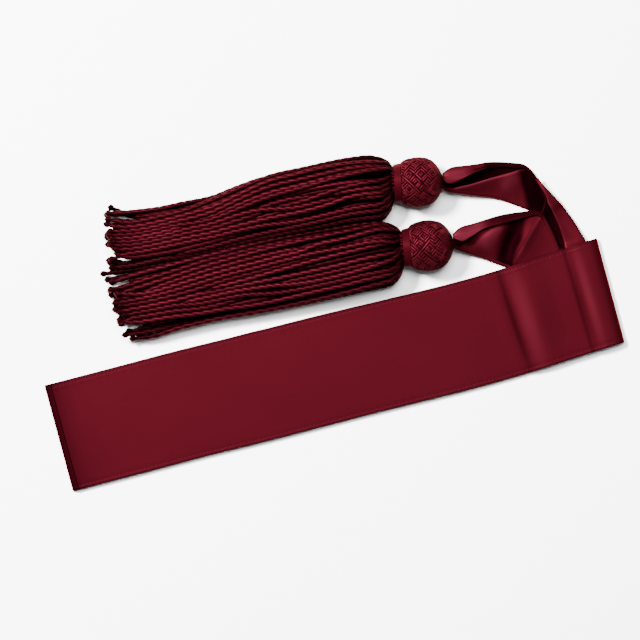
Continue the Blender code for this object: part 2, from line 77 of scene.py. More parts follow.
# Profile of the band's top layer: place along the band, height of the cloth,
# and how far a fold leans along the band for each millimetre across it.
BAND_PROFILE = (
    # along, height, lean
    (-179.5, 4.7, 0.0),
    (-110.0, 4.8, 0.0),
    (-30.0, 4.7, 0.0),
    (50.0, 4.8, 0.01),
    (105.0, 4.7, 0.05),
    (115.0, 4.7, 0.066),
    (118.2, 4.5, 0.066),
    (120.4, 4.7, 0.066),
    (122.4, 5.6, 0.066),
    (124.8, 6.5, 0.066),
    (127.6, 7.2, 0.066),
    (132.0, 7.7, 0.06),
    (137.0, 7.8, 0.05),
    (146.0, 7.5, 0.04),
    (156.0, 7.4, 0.03),
    (163.5, 7.4, 0.02),
    (165.8, 7.2, 0.02),
    (166.9, 6.9, 0.02),
    (168.0, 7.2, 0.02),
    (170.0, 7.8, 0.02),
    (173.5, 8.2, 0.01),
    (177.5, 8.2, 0.0),
)

# Slight bend of the band: place along it, and how far its near and its far edge
# lie from those of a straight band.
BAND_BEND = (
    # along, near, far
    (-188.5, -0.5, 1.6),
    (-140.0, -0.4, 1.6),
    (-100.0, -0.8, 1.3),
    (-60.0, -1.8, 0.6),
    (-20.0, -2.2, -0.2),
    (20.0, -2.8, -1.5),
    (60.0, -3.3, -2.5),
    (95.0, -3.6, -3.1),
    (122.0, -3.2, -2.6),
    (150.0, -1.8, -0.8),
    (188.5, -0.2, 0.9),
)

# Round end of a fold: share of the roll's length, share of the height.
FOLD_END = (
    (0.09, 0.0),
    (0.02, 0.17),
    (0.0, 0.36),
    (0.05, 0.58),
    (0.19, 0.79),
    (0.46, 0.94),
)

# Hidden layers from the floor up: how far each lies inside the band's edge on
# the near side, on the far side and at both ends.
HIDDEN_LAYERS = (
    # near_inset, far_inset, end_inset
    (1.1, 0.9, 2.6),
    (0.4, 0.5, 3.1),
    (0.9, 0.3, 5.4),
)

# Lines along the band beside its edges: how far inside the edge each lies.
TOP_EDGE_LINES = (0.0, 0.08, 0.22, 0.42, 0.7, 1.1, 1.5, 1.8, 2.05, 2.3, 2.55, 2.8, 3.2, 4.0, 5.2)
LAYER_EDGE_LINES = (0.0, 0.05, 0.14, 0.28, 0.48, 1.5)

# Sections across a tail, as in the solids: low and far are the two long sides
# from above, low_z and far_z the heights of the bottom layer there, and swell
# the rise between them. low_r and far_r are the turns at the sides, front and
# back the shares of the width under the flaps, and front_z and back_z how far
# their free edges stand above the bottom layer.
TAIL_COLUMNS = (
    "low_x", "low_y", "far_x", "far_y", "low_z", "far_z", "swell",
    "low_r", "front", "front_z", "far_r", "back", "back_z",
)

UPPER_LEG = (
    (70.5, 89.4, 70.5, 98.2, 13.0, 13.2, 0.0, 1.2, 0.16, 3.0, 1.4, 0.34, 4.4),
    (72.9, 87.4, 73.0, 100.4, 12.2, 12.6, -0.4, 1.2, 0.14, 3.2, 1.8, 0.60, 5.6),
    (76.4, 86.4, 77.4, 102.7, 10.6, 11.2, -0.6, 1.2, 0.14, 3.6, 2.2, 0.66, 6.6),
    (81.8, 85.9, 84.5, 103.6, 8.6, 9.8, -0.6, 1.2, 0.24, 3.4, 2.4, 0.50, 7.0),
    (89.1, 84.9, 92.4, 104.6, 6.6, 8.2, -0.4, 1.2, 0.36, 3.6, 2.4, 0.28, 7.0),
    (95.7, 84.2, 100.6, 106.0, 5.0, 6.6, -0.2, 1.2, 0.47, 3.8, 2.1, 0.18, 4.8),
    (103.6, 83.4, 109.0, 106.2, 3.6, 5.0, 0.0, 1.1, 0.60, 3.8, 1.6, 0.14, 3.3),
    (111.5, 81.2, 117.3, 105.7, 2.6, 3.6, 0.0, 1.0, 0.75, 3.8, 1.3, 0.11, 2.6),
    (119.5, 78.3, 124.9, 104.5, 1.9, 2.4, 0.0, 0.9, 0.89, 3.9, 1.0, 0.09, 2.0),
    (126.6, 75.6, 130.8, 99.0, 1.4, 1.6, 0.0, 0.8, 0.93, 4.4, 1.0, 0.08, 2.0),
    (131.8, 74.6, 134.8, 93.0, 1.0, 1.1, 0.0, 0.8, 0.92, 4.0, 0.9, 0.10, 1.8),
    (136.4, 74.3, 138.2, 88.4, 0.9, 0.9, 0.0, 0.8, 0.86, 3.6, 0.8, 0.12, 1.6),
    (141.0, 75.0, 141.8, 83.2, 0.9, 0.9, 0.0, 0.8, 0.50, 3.0, 0.7, 0.18, 1.4),
)

UPPER_STRIP = (
    (133.4, 96.0, 131.0, 94.4, 6.4, 6.6, 0.0, 0.7, 0.72, 1.4, 0.0, 0.0, 0.0),
    (137.3, 90.8, 134.6, 89.6, 6.2, 6.4, 0.0, 0.7, 0.74, 1.4, 0.0, 0.0, 0.0),
    (142.6, 85.2, 138.4, 82.4, 5.6, 5.8, 0.0, 0.8, 0.80, 1.8, 0.0, 0.0, 0.0),
    (147.2, 80.4, 136.4, 72.9, 4.2, 3.5, 0.0, 1.1, 0.51, 2.8, 0.0, 0.0, 0.0),
    (151.1, 76.0, 136.4, 66.1, 1.4, 1.4, 0.0, 1.4, 0.46, 4.0, 0.0, 0.0, 0.0),
    (157.7, 66.7, 139.0, 58.5, 1.4, 1.2, 0.0, 1.3, 0.51, 3.6, 0.0, 0.0, 0.0),
    (162.4, 59.0, 144.8, 52.1, 2.6, 1.3, 0.0, 1.0, 0.66, 2.6, 0.0, 0.0, 0.0),
    (165.2, 53.6, 149.3, 47.8, 3.8, 4.0, 0.0, 0.65, 0.84, 1.3, 0.0, 0.0, 0.0),
    (169.0, 43.0, 155.6, 39.2, 3.8, 3.8, 0.0, 0.65, 0.90, 1.3, 0.0, 0.0, 0.0),
    (176.0, 14.0, 163.4, 10.6, 3.8, 3.8, 0.0, 0.65, 0.90, 1.3, 0.0, 0.0, 0.0),
    (183.4, -12.0, 170.6, -15.4, 3.8, 3.8, 0.0, 0.65, 0.90, 1.3, 0.0, 0.0, 0.0),
)

LOWER_TAIL = (
    (77.6, 50.0, 77.5, 58.6, 13.2, 13.4, 0.0, 1.2, 0.16, 2.6, 1.4, 0.30, 4.0),
    (80.4, 48.8, 79.8, 61.2, 12.0, 12.4, -0.3, 1.1, 0.16, 2.6, 1.8, 0.48, 5.4),
    (84.0, 47.5, 83.6, 63.6, 9.8, 11.0, -0.5, 1.0, 0.14, 2.4, 2.2, 0.60, 6.4),
    (89.1, 46.0, 90.4, 65.5, 7.0, 9.0, 0.0, 0.9, 0.08, 1.9, 2.3, 0.42, 6.4),
    (95.7, 44.0, 98.3, 68.0, 4.8, 7.4, 1.4, 0.9, 0.05, 1.9, 2.1, 0.24, 5.4),
    (103.0, 41.2, 109.6, 71.3, 3.6, 6.0, 1.6, 0.9, 0.05, 1.9, 1.7, 0.20, 4.2),
    (109.6, 38.8, 122.1, 73.3, 3.8, 5.4, -0.8, 0.8, 0.04, 1.6, 1.3, 0.14, 3.0),
    (115.2, 36.4, 134.6, 74.0, 3.8, 5.2, 2.0, 0.7, 0.04, 1.4, 0.9, 0.08, 1.8),
    (118.8, 33.0, 139.8, 66.9, 3.8, 4.6, 1.0, 0.7, 0.05, 1.4, 0.7, 0.06, 1.4),
    (121.6, 28.6, 144.3, 57.8, 3.8, 4.2, 0.2, 0.65, 0.20, 1.3, 0.65, 0.05, 1.3),
    (123.6, 22.6, 148.6, 47.6, 3.8, 3.8, 0.0, 0.65, 0.50, 1.3, 0.65, 0.05, 1.3),
    (125.4, 16.0, 153.2, 37.6, 3.8, 3.8, 0.0, 0.65, 0.62, 1.3, 0.65, 0.05, 1.3),
    (129.6, 2.0, 161.6, 12.0, 3.8, 3.8, 0.0, 0.65, 0.66, 1.3, 0.65, 0.05, 1.3),
    (137.6, -24.6, 168.8, -16.4, 3.8, 3.8, 0.0, 0.65, 0.66, 1.3, 0.65, 0.05, 1.3),
)

# Outline of a netted ball, turned about its axis: place along it, radius.
HEAD_PROFILE = (
    # along, radius
    (0.0, 12.4),
    (1.0, 13.7),
    (3.4, 14.9),
    (7.6, 15.8),
    (12.4, 16.0),
    (17.0, 15.2),
    (21.0, 12.9),
    (24.0, 9.4),
    (25.9, 5.8),
    (26.5, 4.4),
)

# Patches in which one family of the net's threads lies over the other: turns
# round the ball, and swings from its one end to the other.
NET_WAVES = (
    # turns, swing
    (9, 24.0),
    (-7, 29.0),
    (12, -21.0),
    (4, 33.0),
)

# Sections of a skirt at right angles to X: centre, half width, half height,
# and how far the section leans along X for each millimetre across.
UPPER_SKIRT = (
    # x, y, half_width, half_height, lean
    (37.9, 92.1, 9.7, 9.7, -0.05),
    (36.9, 91.8, 12.8, 12.4, -0.05),
    (34.2, 90.2, 17.4, 14.6, -0.05),
    (30.4, 88.8, 20.4, 15.4, -0.04),
    (25.7, 88.4, 21.6, 15.4, -0.03),
    (20.5, 88.4, 22.1, 15.0, 0.0),
    (4.6, 86.5, 22.1, 13.8, 0.0),
    (-23.1, 81.2, 21.4, 11.8, 0.0),
    (-43.6, 77.0, 21.1, 10.5, 0.0),
    (-64.7, 71.0, 19.8, 9.5, 0.0),
    (-81.2, 65.7, 18.6, 9.0, 0.0),
    (-99.0, 61.8, 18.8, 8.4, 0.0),
    (-120.1, 57.5, 18.9, 7.9, 0.0),
    (-134.0, 55.6, 19.6, 7.6, 0.0),
    (-150.0, 55.8, 20.6, 7.4, -0.03),
)

LOWER_SKIRT = (
    (43.9, 49.5, 9.7, 9.7, -0.1),
    (42.9, 49.2, 12.8, 12.4, -0.1),
    (40.2, 47.0, 17.4, 14.6, -0.09),
    (36.3, 45.8, 20.0, 15.4, -0.07),
    (29.7, 45.3, 22.0, 15.4, -0.04),
    (19.1, 43.8, 22.9, 14.8, 0.0),
    (4.6, 41.0, 23.4, 13.6, 0.0),
    (-23.1, 35.7, 24.1, 11.6, 0.0),
    (-50.8, 30.3, 23.9, 10.1, 0.0),
    (-78.5, 24.4, 22.9, 9.1, 0.0),
    (-106.3, 18.1, 22.9, 8.4, -0.1),
    (-128.7, 13.3, 23.4, 7.7, -0.3),
    (-145.5, 11.0, 22.6, 7.4, -0.36),
)


class Slot(Enum):
    """Material slots of the record."""

    SATIN = "satin"
    LAYERS = "satin_layers"
    CORD = "cord"
    KNIT = "knit"
    BINDING = "binding"


class Wire:
    """A socket of a material that takes part in Python arithmetic."""

    def __init__(self, graph: "Graph", socket: bpy.types.NodeSocket) -> None:
        """Keep the socket and the graph that it belongs to."""
        self.graph = graph
        self.socket = socket

    def joined(self, operation: str, first: object, second: object) -> "Wire":
        """Result of one Math node.

        Args:
            operation: the node's operation.
            first: its first value or socket.
            second: its second value or socket.

        Returns:
            The node's output.
        """
        return self.graph.add("ShaderNodeMath", {"operation": operation}, {0: first, 1: second}, 0)

    def __add__(self, other: object) -> "Wire":
        """Sum of the socket and another value."""
        return self.joined("ADD", self, other)

    __radd__ = __add__

    def __mul__(self, other: object) -> "Wire":
        """Product of the socket and another value."""
        return self.joined("MULTIPLY", self, other)

    __rmul__ = __mul__

    def __sub__(self, other: object) -> "Wire":
        """The socket less another value."""
        return self.joined("SUBTRACT", self, other)

    def __rsub__(self, other: object) -> "Wire":
        """Another value less the socket."""
        return self.joined("SUBTRACT", other, self)


class Graph:
    """Node graph of one material."""

    def __init__(self, name: str) -> None:
        """Start an empty material.

        Args:
            name: the material's name.
        """
        self.material = bpy.data.materials.new(name)
        self.material.use_nodes = True
        self.tree = self.material.node_tree
        self.tree.nodes.clear()

    def add(self, kind: str, settings: dict, sockets: dict, output: int | str) -> Wire:
        """One node, with its settings made first and its sockets after them.

        Args:
            kind: the node's type.
            settings: attributes of the node.
            sockets: values or wires for the node's inputs.
            output: the output that is returned.

        Returns:
            That output.
        """
        node = self.tree.nodes.new(kind)
        for key, value in settings.items():
            setattr(node, key, value)
        for key, value in sockets.items():
            if isinstance(value, Wire):
                self.tree.links.new(value.socket, node.inputs[key])
            else:
                node.inputs[key].default_value = value
        return Wire(self, node.outputs[output])

    def mixed(self, share: object, first: object, second: object) -> Wire:
        """Colour between two colours.

        Args:
            share: how much of the second colour there is.
            first: the colour at 0, or a wire.
            second: the colour at 1, or a wire.

        Returns:
            The mixed colour.
        """
        settings = {"data_type": "RGBA", "blend_type": "MIX"}
        ends = [end if isinstance(end, Wire) else (*end, 1.0) for end in (first, second)]
        return self.add("ShaderNodeMix", settings, {0: share, 6: ends[0], 7: ends[1]}, 2)

    def finish(self, sockets: dict) -> bpy.types.Material:
        """Close the material with a Principled shader.

        Args:
            sockets: values or wires for the shader's inputs.

        Returns:
            The material.
        """
        shader = self.add("ShaderNodeBsdfPrincipled", {}, sockets, 0)
        output = self.tree.nodes.new("ShaderNodeOutputMaterial")
        self.tree.links.new(shader.socket, output.inputs["Surface"])
        return self.material


@dataclass(frozen=True)
class SatinFinish:
    """Satin: long glossy threads along the cloth, with a fine grain across them, and painted shade and
    painted highlights from a point attribute.

    Scales are for each metre of cloth, and relief_height is in metres.
    """

    name: str
    dark_and_shaded: Colour
    lit: Colour
    roughness: float
    metallic: float
    specular: float = 0.0
    thread_scale: Spot = (70.0, 2600.0, 1.0)
    grain_scale: Spot = (900.0, 900.0, 1.0)
    broad_scale: float = 26.0
    tone_shares: Spot = (0.5, 0.2, 0.3)
    relief_shares: Place = (0.7, 0.3)
    relief: float = 0.05
    relief_height: float = 0.0002
    gloss_spread: float = 0.12
    # Colours of the painted shade in folds and of the painted highlights.
    painted_shade: Colour = (0.0018, 0.0001, 0.0003)
    lift_and_light: Colour = (0.052, 0.0056, 0.0110)

    def build(self) -> bpy.types.Material:
        """The finish as a material."""
        graph = Graph(self.name)
        place = graph.add("ShaderNodeUVMap", {"uv_map": CLOTH_UV}, {}, "UV")
        along = graph.add("ShaderNodeMapping", {}, {"Vector": place, "Scale": self.thread_scale}, 0)
        grain = graph.add("ShaderNodeMapping", {}, {"Vector": place, "Scale": self.grain_scale}, 0)
        threads = graph.add("ShaderNodeTexNoise", {}, {"Vector": along, "Scale": 1.0, "Detail": 3.0}, 0)
        speckle = graph.add("ShaderNodeTexNoise", {}, {"Vector": grain, "Scale": 1.0, "Detail": 2.0}, 0)
        broad = graph.add(
            "ShaderNodeTexNoise", {}, {"Vector": place, "Scale": self.broad_scale, "Detail": 2.0}, 0
        )
        thread_tone, speckle_tone, broad_tone = self.tone_shares
        share = thread_tone * threads + speckle_tone * speckle + broad_tone * broad
        # Painted shade in folds, and painted highlights where the attribute is below 0.
        depth = graph.add("ShaderNodeAttribute", {"attribute_name": PAINTED_SHADE}, {}, "Fac")
        shaded = graph.mixed(depth, graph.mixed(share, self.dark_and_shaded, self.lit), self.painted_shade)
        height = self.relief_shares[0] * threads + self.relief_shares[1] * speckle
        relief = {"Height": height, "Strength": self.relief, "Distance": self.relief_height}
        return graph.finish({
            "Base Color": graph.mixed(-1.0 * depth, shaded, self.lift_and_light),
            "Roughness": self.roughness + self.gloss_spread * (threads - 0.5),
            "Metallic": self.metallic,
            "Specular IOR Level": self.specular,
            "Specular Tint": EDGE_TINT,
            "Normal": graph.add("ShaderNodeBump", {}, relief, 0),
        })


@dataclass(frozen=True)
class ThreadFinish:
    """Twisted or netted thread: fine filaments, with painted shade from a point attribute.

    The scale is for each metre of thread, and relief_height is in metres.
    """

    name: str
    dark_and_shaded: Colour
    lit: Colour
    roughness: float
    metallic: float
    specular: float = 0.01
    filament_scale: float = 1800.0
    filament_tone: Place = (0.7, 0.6)
    relief: float = 0.25
    relief_height: float = 0.0003
    gloss_spread: float = 0.1

    def build(self) -> bpy.types.Material:
        """The finish as a material."""
        graph = Graph(self.name)
        place = graph.add("ShaderNodeTexCoord", {}, {}, "Object")
        filaments = graph.add(
            "ShaderNodeTexNoise", {}, {"Vector": place, "Scale": self.filament_scale, "Detail": 3.0}, 0
        )
        # Painted shade from the point attribute.
        shade = graph.add("ShaderNodeAttribute", {"attribute_name": SHADE}, {}, "Fac")
        share = shade * (self.filament_tone[0] + self.filament_tone[1] * filaments)
        relief = {"Height": filaments, "Strength": self.relief, "Distance": self.relief_height}
        return graph.finish({
            "Base Color": graph.mixed(share, self.dark_and_shaded, self.lit),
            "Roughness": self.roughness + self.gloss_spread * (filaments - 0.5),
            "Metallic": self.metallic,
            "Specular IOR Level": self.specular,
            "Specular Tint": EDGE_TINT,
            "Normal": graph.add("ShaderNodeBump", {}, relief, 0),
        })


@dataclass(frozen=True)
class PaperFinish:
    """Plain pale surface under the sash."""

    name: str = "pale_surface"
    colour: Colour = (0.93, 0.93, 0.93)
    roughness: float = 0.9

    def build(self) -> bpy.types.Material:
        """The finish as a material."""
        graph = Graph(self.name)
        return graph.finish({"Base Color": (*self.colour, 1.0), "Roughness": self.roughness})


SATIN = SatinFinish("crimson_satin", (0.0153, 0.0010, 0.0021), (0.0200, 0.0014, 0.0029), 0.46, 0.4)
LAYER_SATIN = SatinFinish("folded_satin", (0.0120, 0.0007, 0.0014), (0.0160, 0.0010, 0.0020), 0.5, 0.3)
STITCH = ThreadFinish("stitching_thread", (0.024, 0.0018, 0.0038), (0.042, 0.0040, 0.0080), 0.5, 0.4)
CORD = ThreadFinish("twisted_cord", (0.0016, 0.0001, 0.0002), (0.0212, 0.0016, 0.0034), 0.40, 0.4)
KNIT = ThreadFinish("netted_thread", (0.0014, 0.0001, 0.0002), (0.0780, 0.0058, 0.0118), 0.42, 0.4)
BINDING = ThreadFinish("wound_floss", (0.0050, 0.0003, 0.0006), (0.0240, 0.0015, 0.0034), 0.44, 0.4)


def on_curve(rows: tuple, places: np.ndarray) -> np.ndarray:
    """Rows of a table on a smooth curve.

    Args:
        rows: the table.
        places: places between 0 and the table's last index.

    Returns:
        One row for each place.
    """
    table = np.asarray(rows, float)
    last = len(table) - 1
    index = np.clip(np.floor(places).astype(int), 0, last - 1)
    t = (places - index)[:, None]
    a = table[np.maximum(index - 1, 0)]
    b = table[index]
    c = table[index + 1]
    d = table[np.minimum(index + 2, last)]
    return b + 0.5 * t * (c - a + t * (2 * a - 5 * b + 4 * c - d + t * (3 * (b - c) + d - a)))


def eased(share: np.ndarray | float) -> np.ndarray | float:
    """Share from 0 to 1 that starts and ends gently."""
    return share * share * (3 - 2 * share)


def rising(least: float, share: np.ndarray) -> np.ndarray:
    """Factor that rises from a least value, where the share is 0, to 1."""
    return least + (1 - least) * share


def ramp(value: np.ndarray, length: float, start: float = 0.0) -> np.ndarray:
    """Share of a length that a value has passed from its start, from 0 to 1."""
    return np.clip((value - start) / length, 0.0, 1.0)


def fading(distance: np.ndarray, reach: float, power: float = 2.0) -> np.ndarray:
    """Share that is 1 at a distance of 0 and fades over the reach."""
    return np.exp(-((distance / reach) ** power))


def tapered(share: np.ndarray, margin: float) -> np.ndarray:
    """Size along something slender, full in its middle and small at its ends.

    Args:
        share: place along it, from 0 to 1.
        margin: how far from each end the size stops shrinking, as a share.

    Returns:
        The size, as a share of the full one.
    """
    smallest = 0.35
    return rising(smallest, np.sin(np.pi * np.clip(share, margin, 1 - margin)))


def unit(vectors: np.ndarray) -> np.ndarray:
    """The vectors with a length of 1."""
    return vectors / np.maximum(np.linalg.norm(vectors, axis=-1, keepdims=True), SHORTEST)


def length_so_far(points: np.ndarray) -> np.ndarray:
    """Length of a line from its first point to each of its points."""
    return np.concatenate([[0.0], np.cumsum(np.linalg.norm(np.diff(points, axis=0), axis=1))])


def at_lengths(run: np.ndarray, rows: np.ndarray, wanted: np.ndarray) -> np.ndarray:
    """Rows of a table at wanted lengths.

    Args:
        run: length so far at each row.
        rows: the rows.
        wanted: the lengths.

    Returns:
        One row for each of them.
    """
    return np.stack([np.interp(wanted, run, column) for column in rows.T], axis=1)


def run_lengths(points: np.ndarray, axis: int) -> np.ndarray:
    """Length along a grid from its first row or column.

    Args:
        points: grid of points, rows by columns by 3.
        axis: 0 along the rows, 1 along the columns.

    Returns:
        The length at each point of the grid.
    """
    steps = np.linalg.norm(np.diff(points, axis=axis), axis=2)
    pad = [(0, 0), (0, 0)]
    pad[axis] = (1, 0)
    return np.cumsum(np.pad(steps, pad), axis=axis)


def grid_normals(points: np.ndarray) -> np.ndarray:
    """Unit normals of a grid of points."""
    return unit(np.cross(np.gradient(points, axis=0), np.gradient(points, axis=1)))


def new_piece(name: str, points: np.ndarray, faces: np.ndarray | list,
              material: bpy.types.Material) -> bpy.types.Object:
    """One smooth mesh object at the origin.

    Args:
        name: the piece's name.
        points: its points in millimetres.
        faces: its faces, as lists of point numbers.
        material: its material.

    Returns:
        The object.
    """
    mesh = bpy.data.meshes.new(name)
    corners = faces.tolist() if isinstance(faces, np.ndarray) else faces
    mesh.from_pydata((np.asarray(points, float) * MM).tolist(), [], corners)
    mesh.materials.append(material)
    mesh.shade_smooth()
    piece = bpy.data.objects.new(name, mesh)
    bpy.context.scene.collection.objects.link(piece)
    return piece


def grid_quads(rows: int, columns: int, offset: int = 0) -> np.ndarray:
    """Quads between the points of a grid that is stored row by row.

    Args:
        rows: how many rows it has.
        columns: how many columns.
        offset: number of its first point.

    Returns:
        The quads.
    """
    r, c = np.meshgrid(np.arange(rows - 1), np.arange(columns - 1), indexing="ij")
    first = (offset + r * columns + c).ravel()
    return np.stack([first, first + 1, first + 1 + columns, first + columns], axis=1)


def rim_quads(rows: int, columns: int, offset: int) -> np.ndarray:
    """Quads that join the border of one grid to the border of a second one.

    Args:
        rows: how many rows each has.
        columns: how many columns.
        offset: how many points the second grid comes after the first.

    Returns:
        The quads.
    """
    border = list(range(columns))
    border += [r * columns + columns - 1 for r in range(1, rows)]
    border += [(rows - 1) * columns + c for c in range(columns - 2, -1, -1)]
    border += [r * columns for r in range(rows - 2, 0, -1)]
    here = np.array(border)
    after = np.roll(here, -1)
    return np.stack([after, here, here + offset, after + offset], axis=1)


def cloth_shell(name: str, middle: np.ndarray, thickness: np.ndarray,
                material: bpy.types.Material) -> bpy.types.Object:
    """A closed thin shell of cloth round a grid of points, with its threads along the rows.

    Args:
        name: the piece's name.
        middle: the grid, rows by columns by 3, in millimetres.
        thickness: the cloth's thickness at each point.
        material: its material.

    Returns:
        The object.
    """
    rows, columns = middle.shape[:2]
    shift = grid_normals(middle) * thickness[:, :, None] / 2
    points = np.concatenate([(middle + shift).reshape(-1, 3), (middle - shift).reshape(-1, 3)])
    count = rows * columns
    faces = np.concatenate([
        grid_quads(rows, columns),
        grid_quads(rows, columns, count)[:, ::-1],
        rim_quads(rows, columns, count),
    ])
    piece = new_piece(name, points, turned_out(points, faces), material)
    lengths = run_lengths(middle, 0) * MM
    widths = run_lengths(middle, 1) * MM
    place = np.stack([lengths, widths], axis=2).reshape(-1, 2)
    set_cloth_uv(piece, np.concatenate([place, place]))
    return piece


def turned_out(points: np.ndarray, faces: np.ndarray) -> np.ndarray:
    """Faces of a closed mesh, turned so that they point outwards.

    Args:
        points: the mesh's points.
        faces: its quads, all turned the same way.

    Returns:
        The quads, reversed if they enclosed a negative volume.
    """
    a, b, c, d = (points[faces[:, i]] for i in range(4))
    volume = np.einsum("ij,ij->", a, np.cross(b, c) + np.cross(c, d))
    return faces if volume > 0 else faces[:, ::-1]


def set_cloth_uv(piece: bpy.types.Object, places: np.ndarray) -> None:
    """Give a piece its UV map from a place for each of its points.

    Args:
        piece: the object.
        places: length and width along the cloth, in metres.
    """
    mesh = piece.data
    layer = mesh.uv_layers.new(name=CLOTH_UV)
    corner = np.empty(len(mesh.loops), dtype=np.int32)
    mesh.loops.foreach_get("vertex_index", corner)
    layer.data.foreach_set("uv", places[corner].astype(np.float32).ravel())


def set_shade(piece: bpy.types.Object, values: np.ndarray) -> None:
    """Store the painted shade and tone of each point of a piece, from 0 dark to 1 lit."""
    layer = piece.data.attributes.new(SHADE, "FLOAT", "POINT")
    layer.data.foreach_set("value", np.asarray(values, np.float32))


def set_painted_shade(piece: bpy.types.Object, values: np.ndarray) -> None:
    """Store the painted shade of each point of a cloth shell, from -1 painted highlight to 1 full
    painted shade.

    Args:
        piece: the shell.
        values: the painted shade at each point of its grid, below 0 a painted highlight.
    """
    layer = piece.data.attributes.new(PAINTED_SHADE, "FLOAT", "POINT")
    one_side = np.clip(values, -1.0, 1.0).astype(np.float32).ravel()
    layer.data.foreach_set("value", np.concatenate([one_side, one_side]))


def keep(piece: bpy.types.Object, slot: Slot, *nodes: str) -> bpy.types.Object:
    """Fasten a finished piece to the frame.

    Args:
        piece: the piece.
        slot: the record's material slot that it belongs to; not used.
        nodes: solids that it stands for.

    Returns:
        The piece.
    """
    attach(piece, BODY)
    if nodes:
        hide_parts(*nodes)
    return piece


def rounded(thickness: float, inside: np.ndarray, radius: float) -> np.ndarray:
    """Thickness of cloth that is rounded off near its edges.

    Args:
        thickness: its full thickness.
        inside: distance of each point from the nearest edge.
        radius: how far in the rounding reaches.

    Returns:
        The thickness at each point.
    """
    thinnest = 0.02
    return thickness * np.sqrt(np.maximum(1 - (1 - ramp(inside, radius)) ** 2, thinnest))


def from_line(points: np.ndarray, start: Place, end: Place) -> tuple[np.ndarray, np.ndarray]:
    """Where points lie beside a line, seen from above.

    Args:
        points: grid of points.
        start: where the line starts.
        end: where it ends.

    Returns:
        The nearest place on the line, from 0 to 1, and the distance from it.
    """
    first = np.array(start)
    run = np.array(end) - first
    from_first = points[..., :2] - first
    share = np.clip((from_first @ run) / (run @ run), 0.0, 1.0)
    return share, np.linalg.norm(from_first - share[..., None] * run, axis=-1)


class Fold(Enum):
    """Layers of a tail's section: its front flap, its bottom and its back flap."""

    FRONT = "front"
    BOTTOM = "bottom"
    BACK = "back"


@dataclass(frozen=True)
class PaintedShade:
    """Painted shade on a layer of a tail round a line seen from above, with a painted highlight where
    its depth is below 0.
    """

    layer: Fold
    start: Place
    end: Place
    width: float
    depth: float
    power: float = 4.0

    def painted_shade_at(self, points: np.ndarray, layers: np.ndarray) -> np.ndarray:
        """Painted shade at each point, and below 0 painted highlight.

        Args:
            points: grid of points.
            layers: the layer of each of the grid's columns.

        Returns:
            The painted shade at each point.
        """
        distance = from_line(points, self.start, self.end)[1]
        return self.depth * fading(distance, self.width, self.power) * (layers == self.layer)[None, :]


@dataclass(frozen=True)
class Crease:
    """A soft ridge or trough that lies across a cloth, seen from above; the band also uses it as a line
    of painted shade or painted highlight.
    """

    start: Place
    end: Place
    width: float
    lift: float

    def lift_and_light(self, points: np.ndarray) -> np.ndarray:
        """How much the crease lifts each point; on a line of painted shade, how much shade it paints.

        Args:
            points: grid of points.

        Returns:
            The lift at each point, in millimetres; on a line of painted shade, the shade, below 0 a
            painted highlight.
        """
        share, distance = from_line(points, self.start, self.end)
        return self.lift * tapered(share, margin=0.08) * fading(distance, self.width)


@dataclass(frozen=True)
class Ripple:
    """A slight wave along the band, which starts elsewhere on each edge or layer."""

    height: float
    length: float
    shift: float = 0.0
    start: float = 0.0

    def at(self, run: np.ndarray, which: np.ndarray | float) -> np.ndarray:
        """Height of the wave.

        Args:
            run: length along the band.
            which: the edge, -1 or 1, or the number of the layer.

        Returns:
            The height at each place.
        """
        return self.height * np.sin(run / self.length + self.start + self.shift * which)


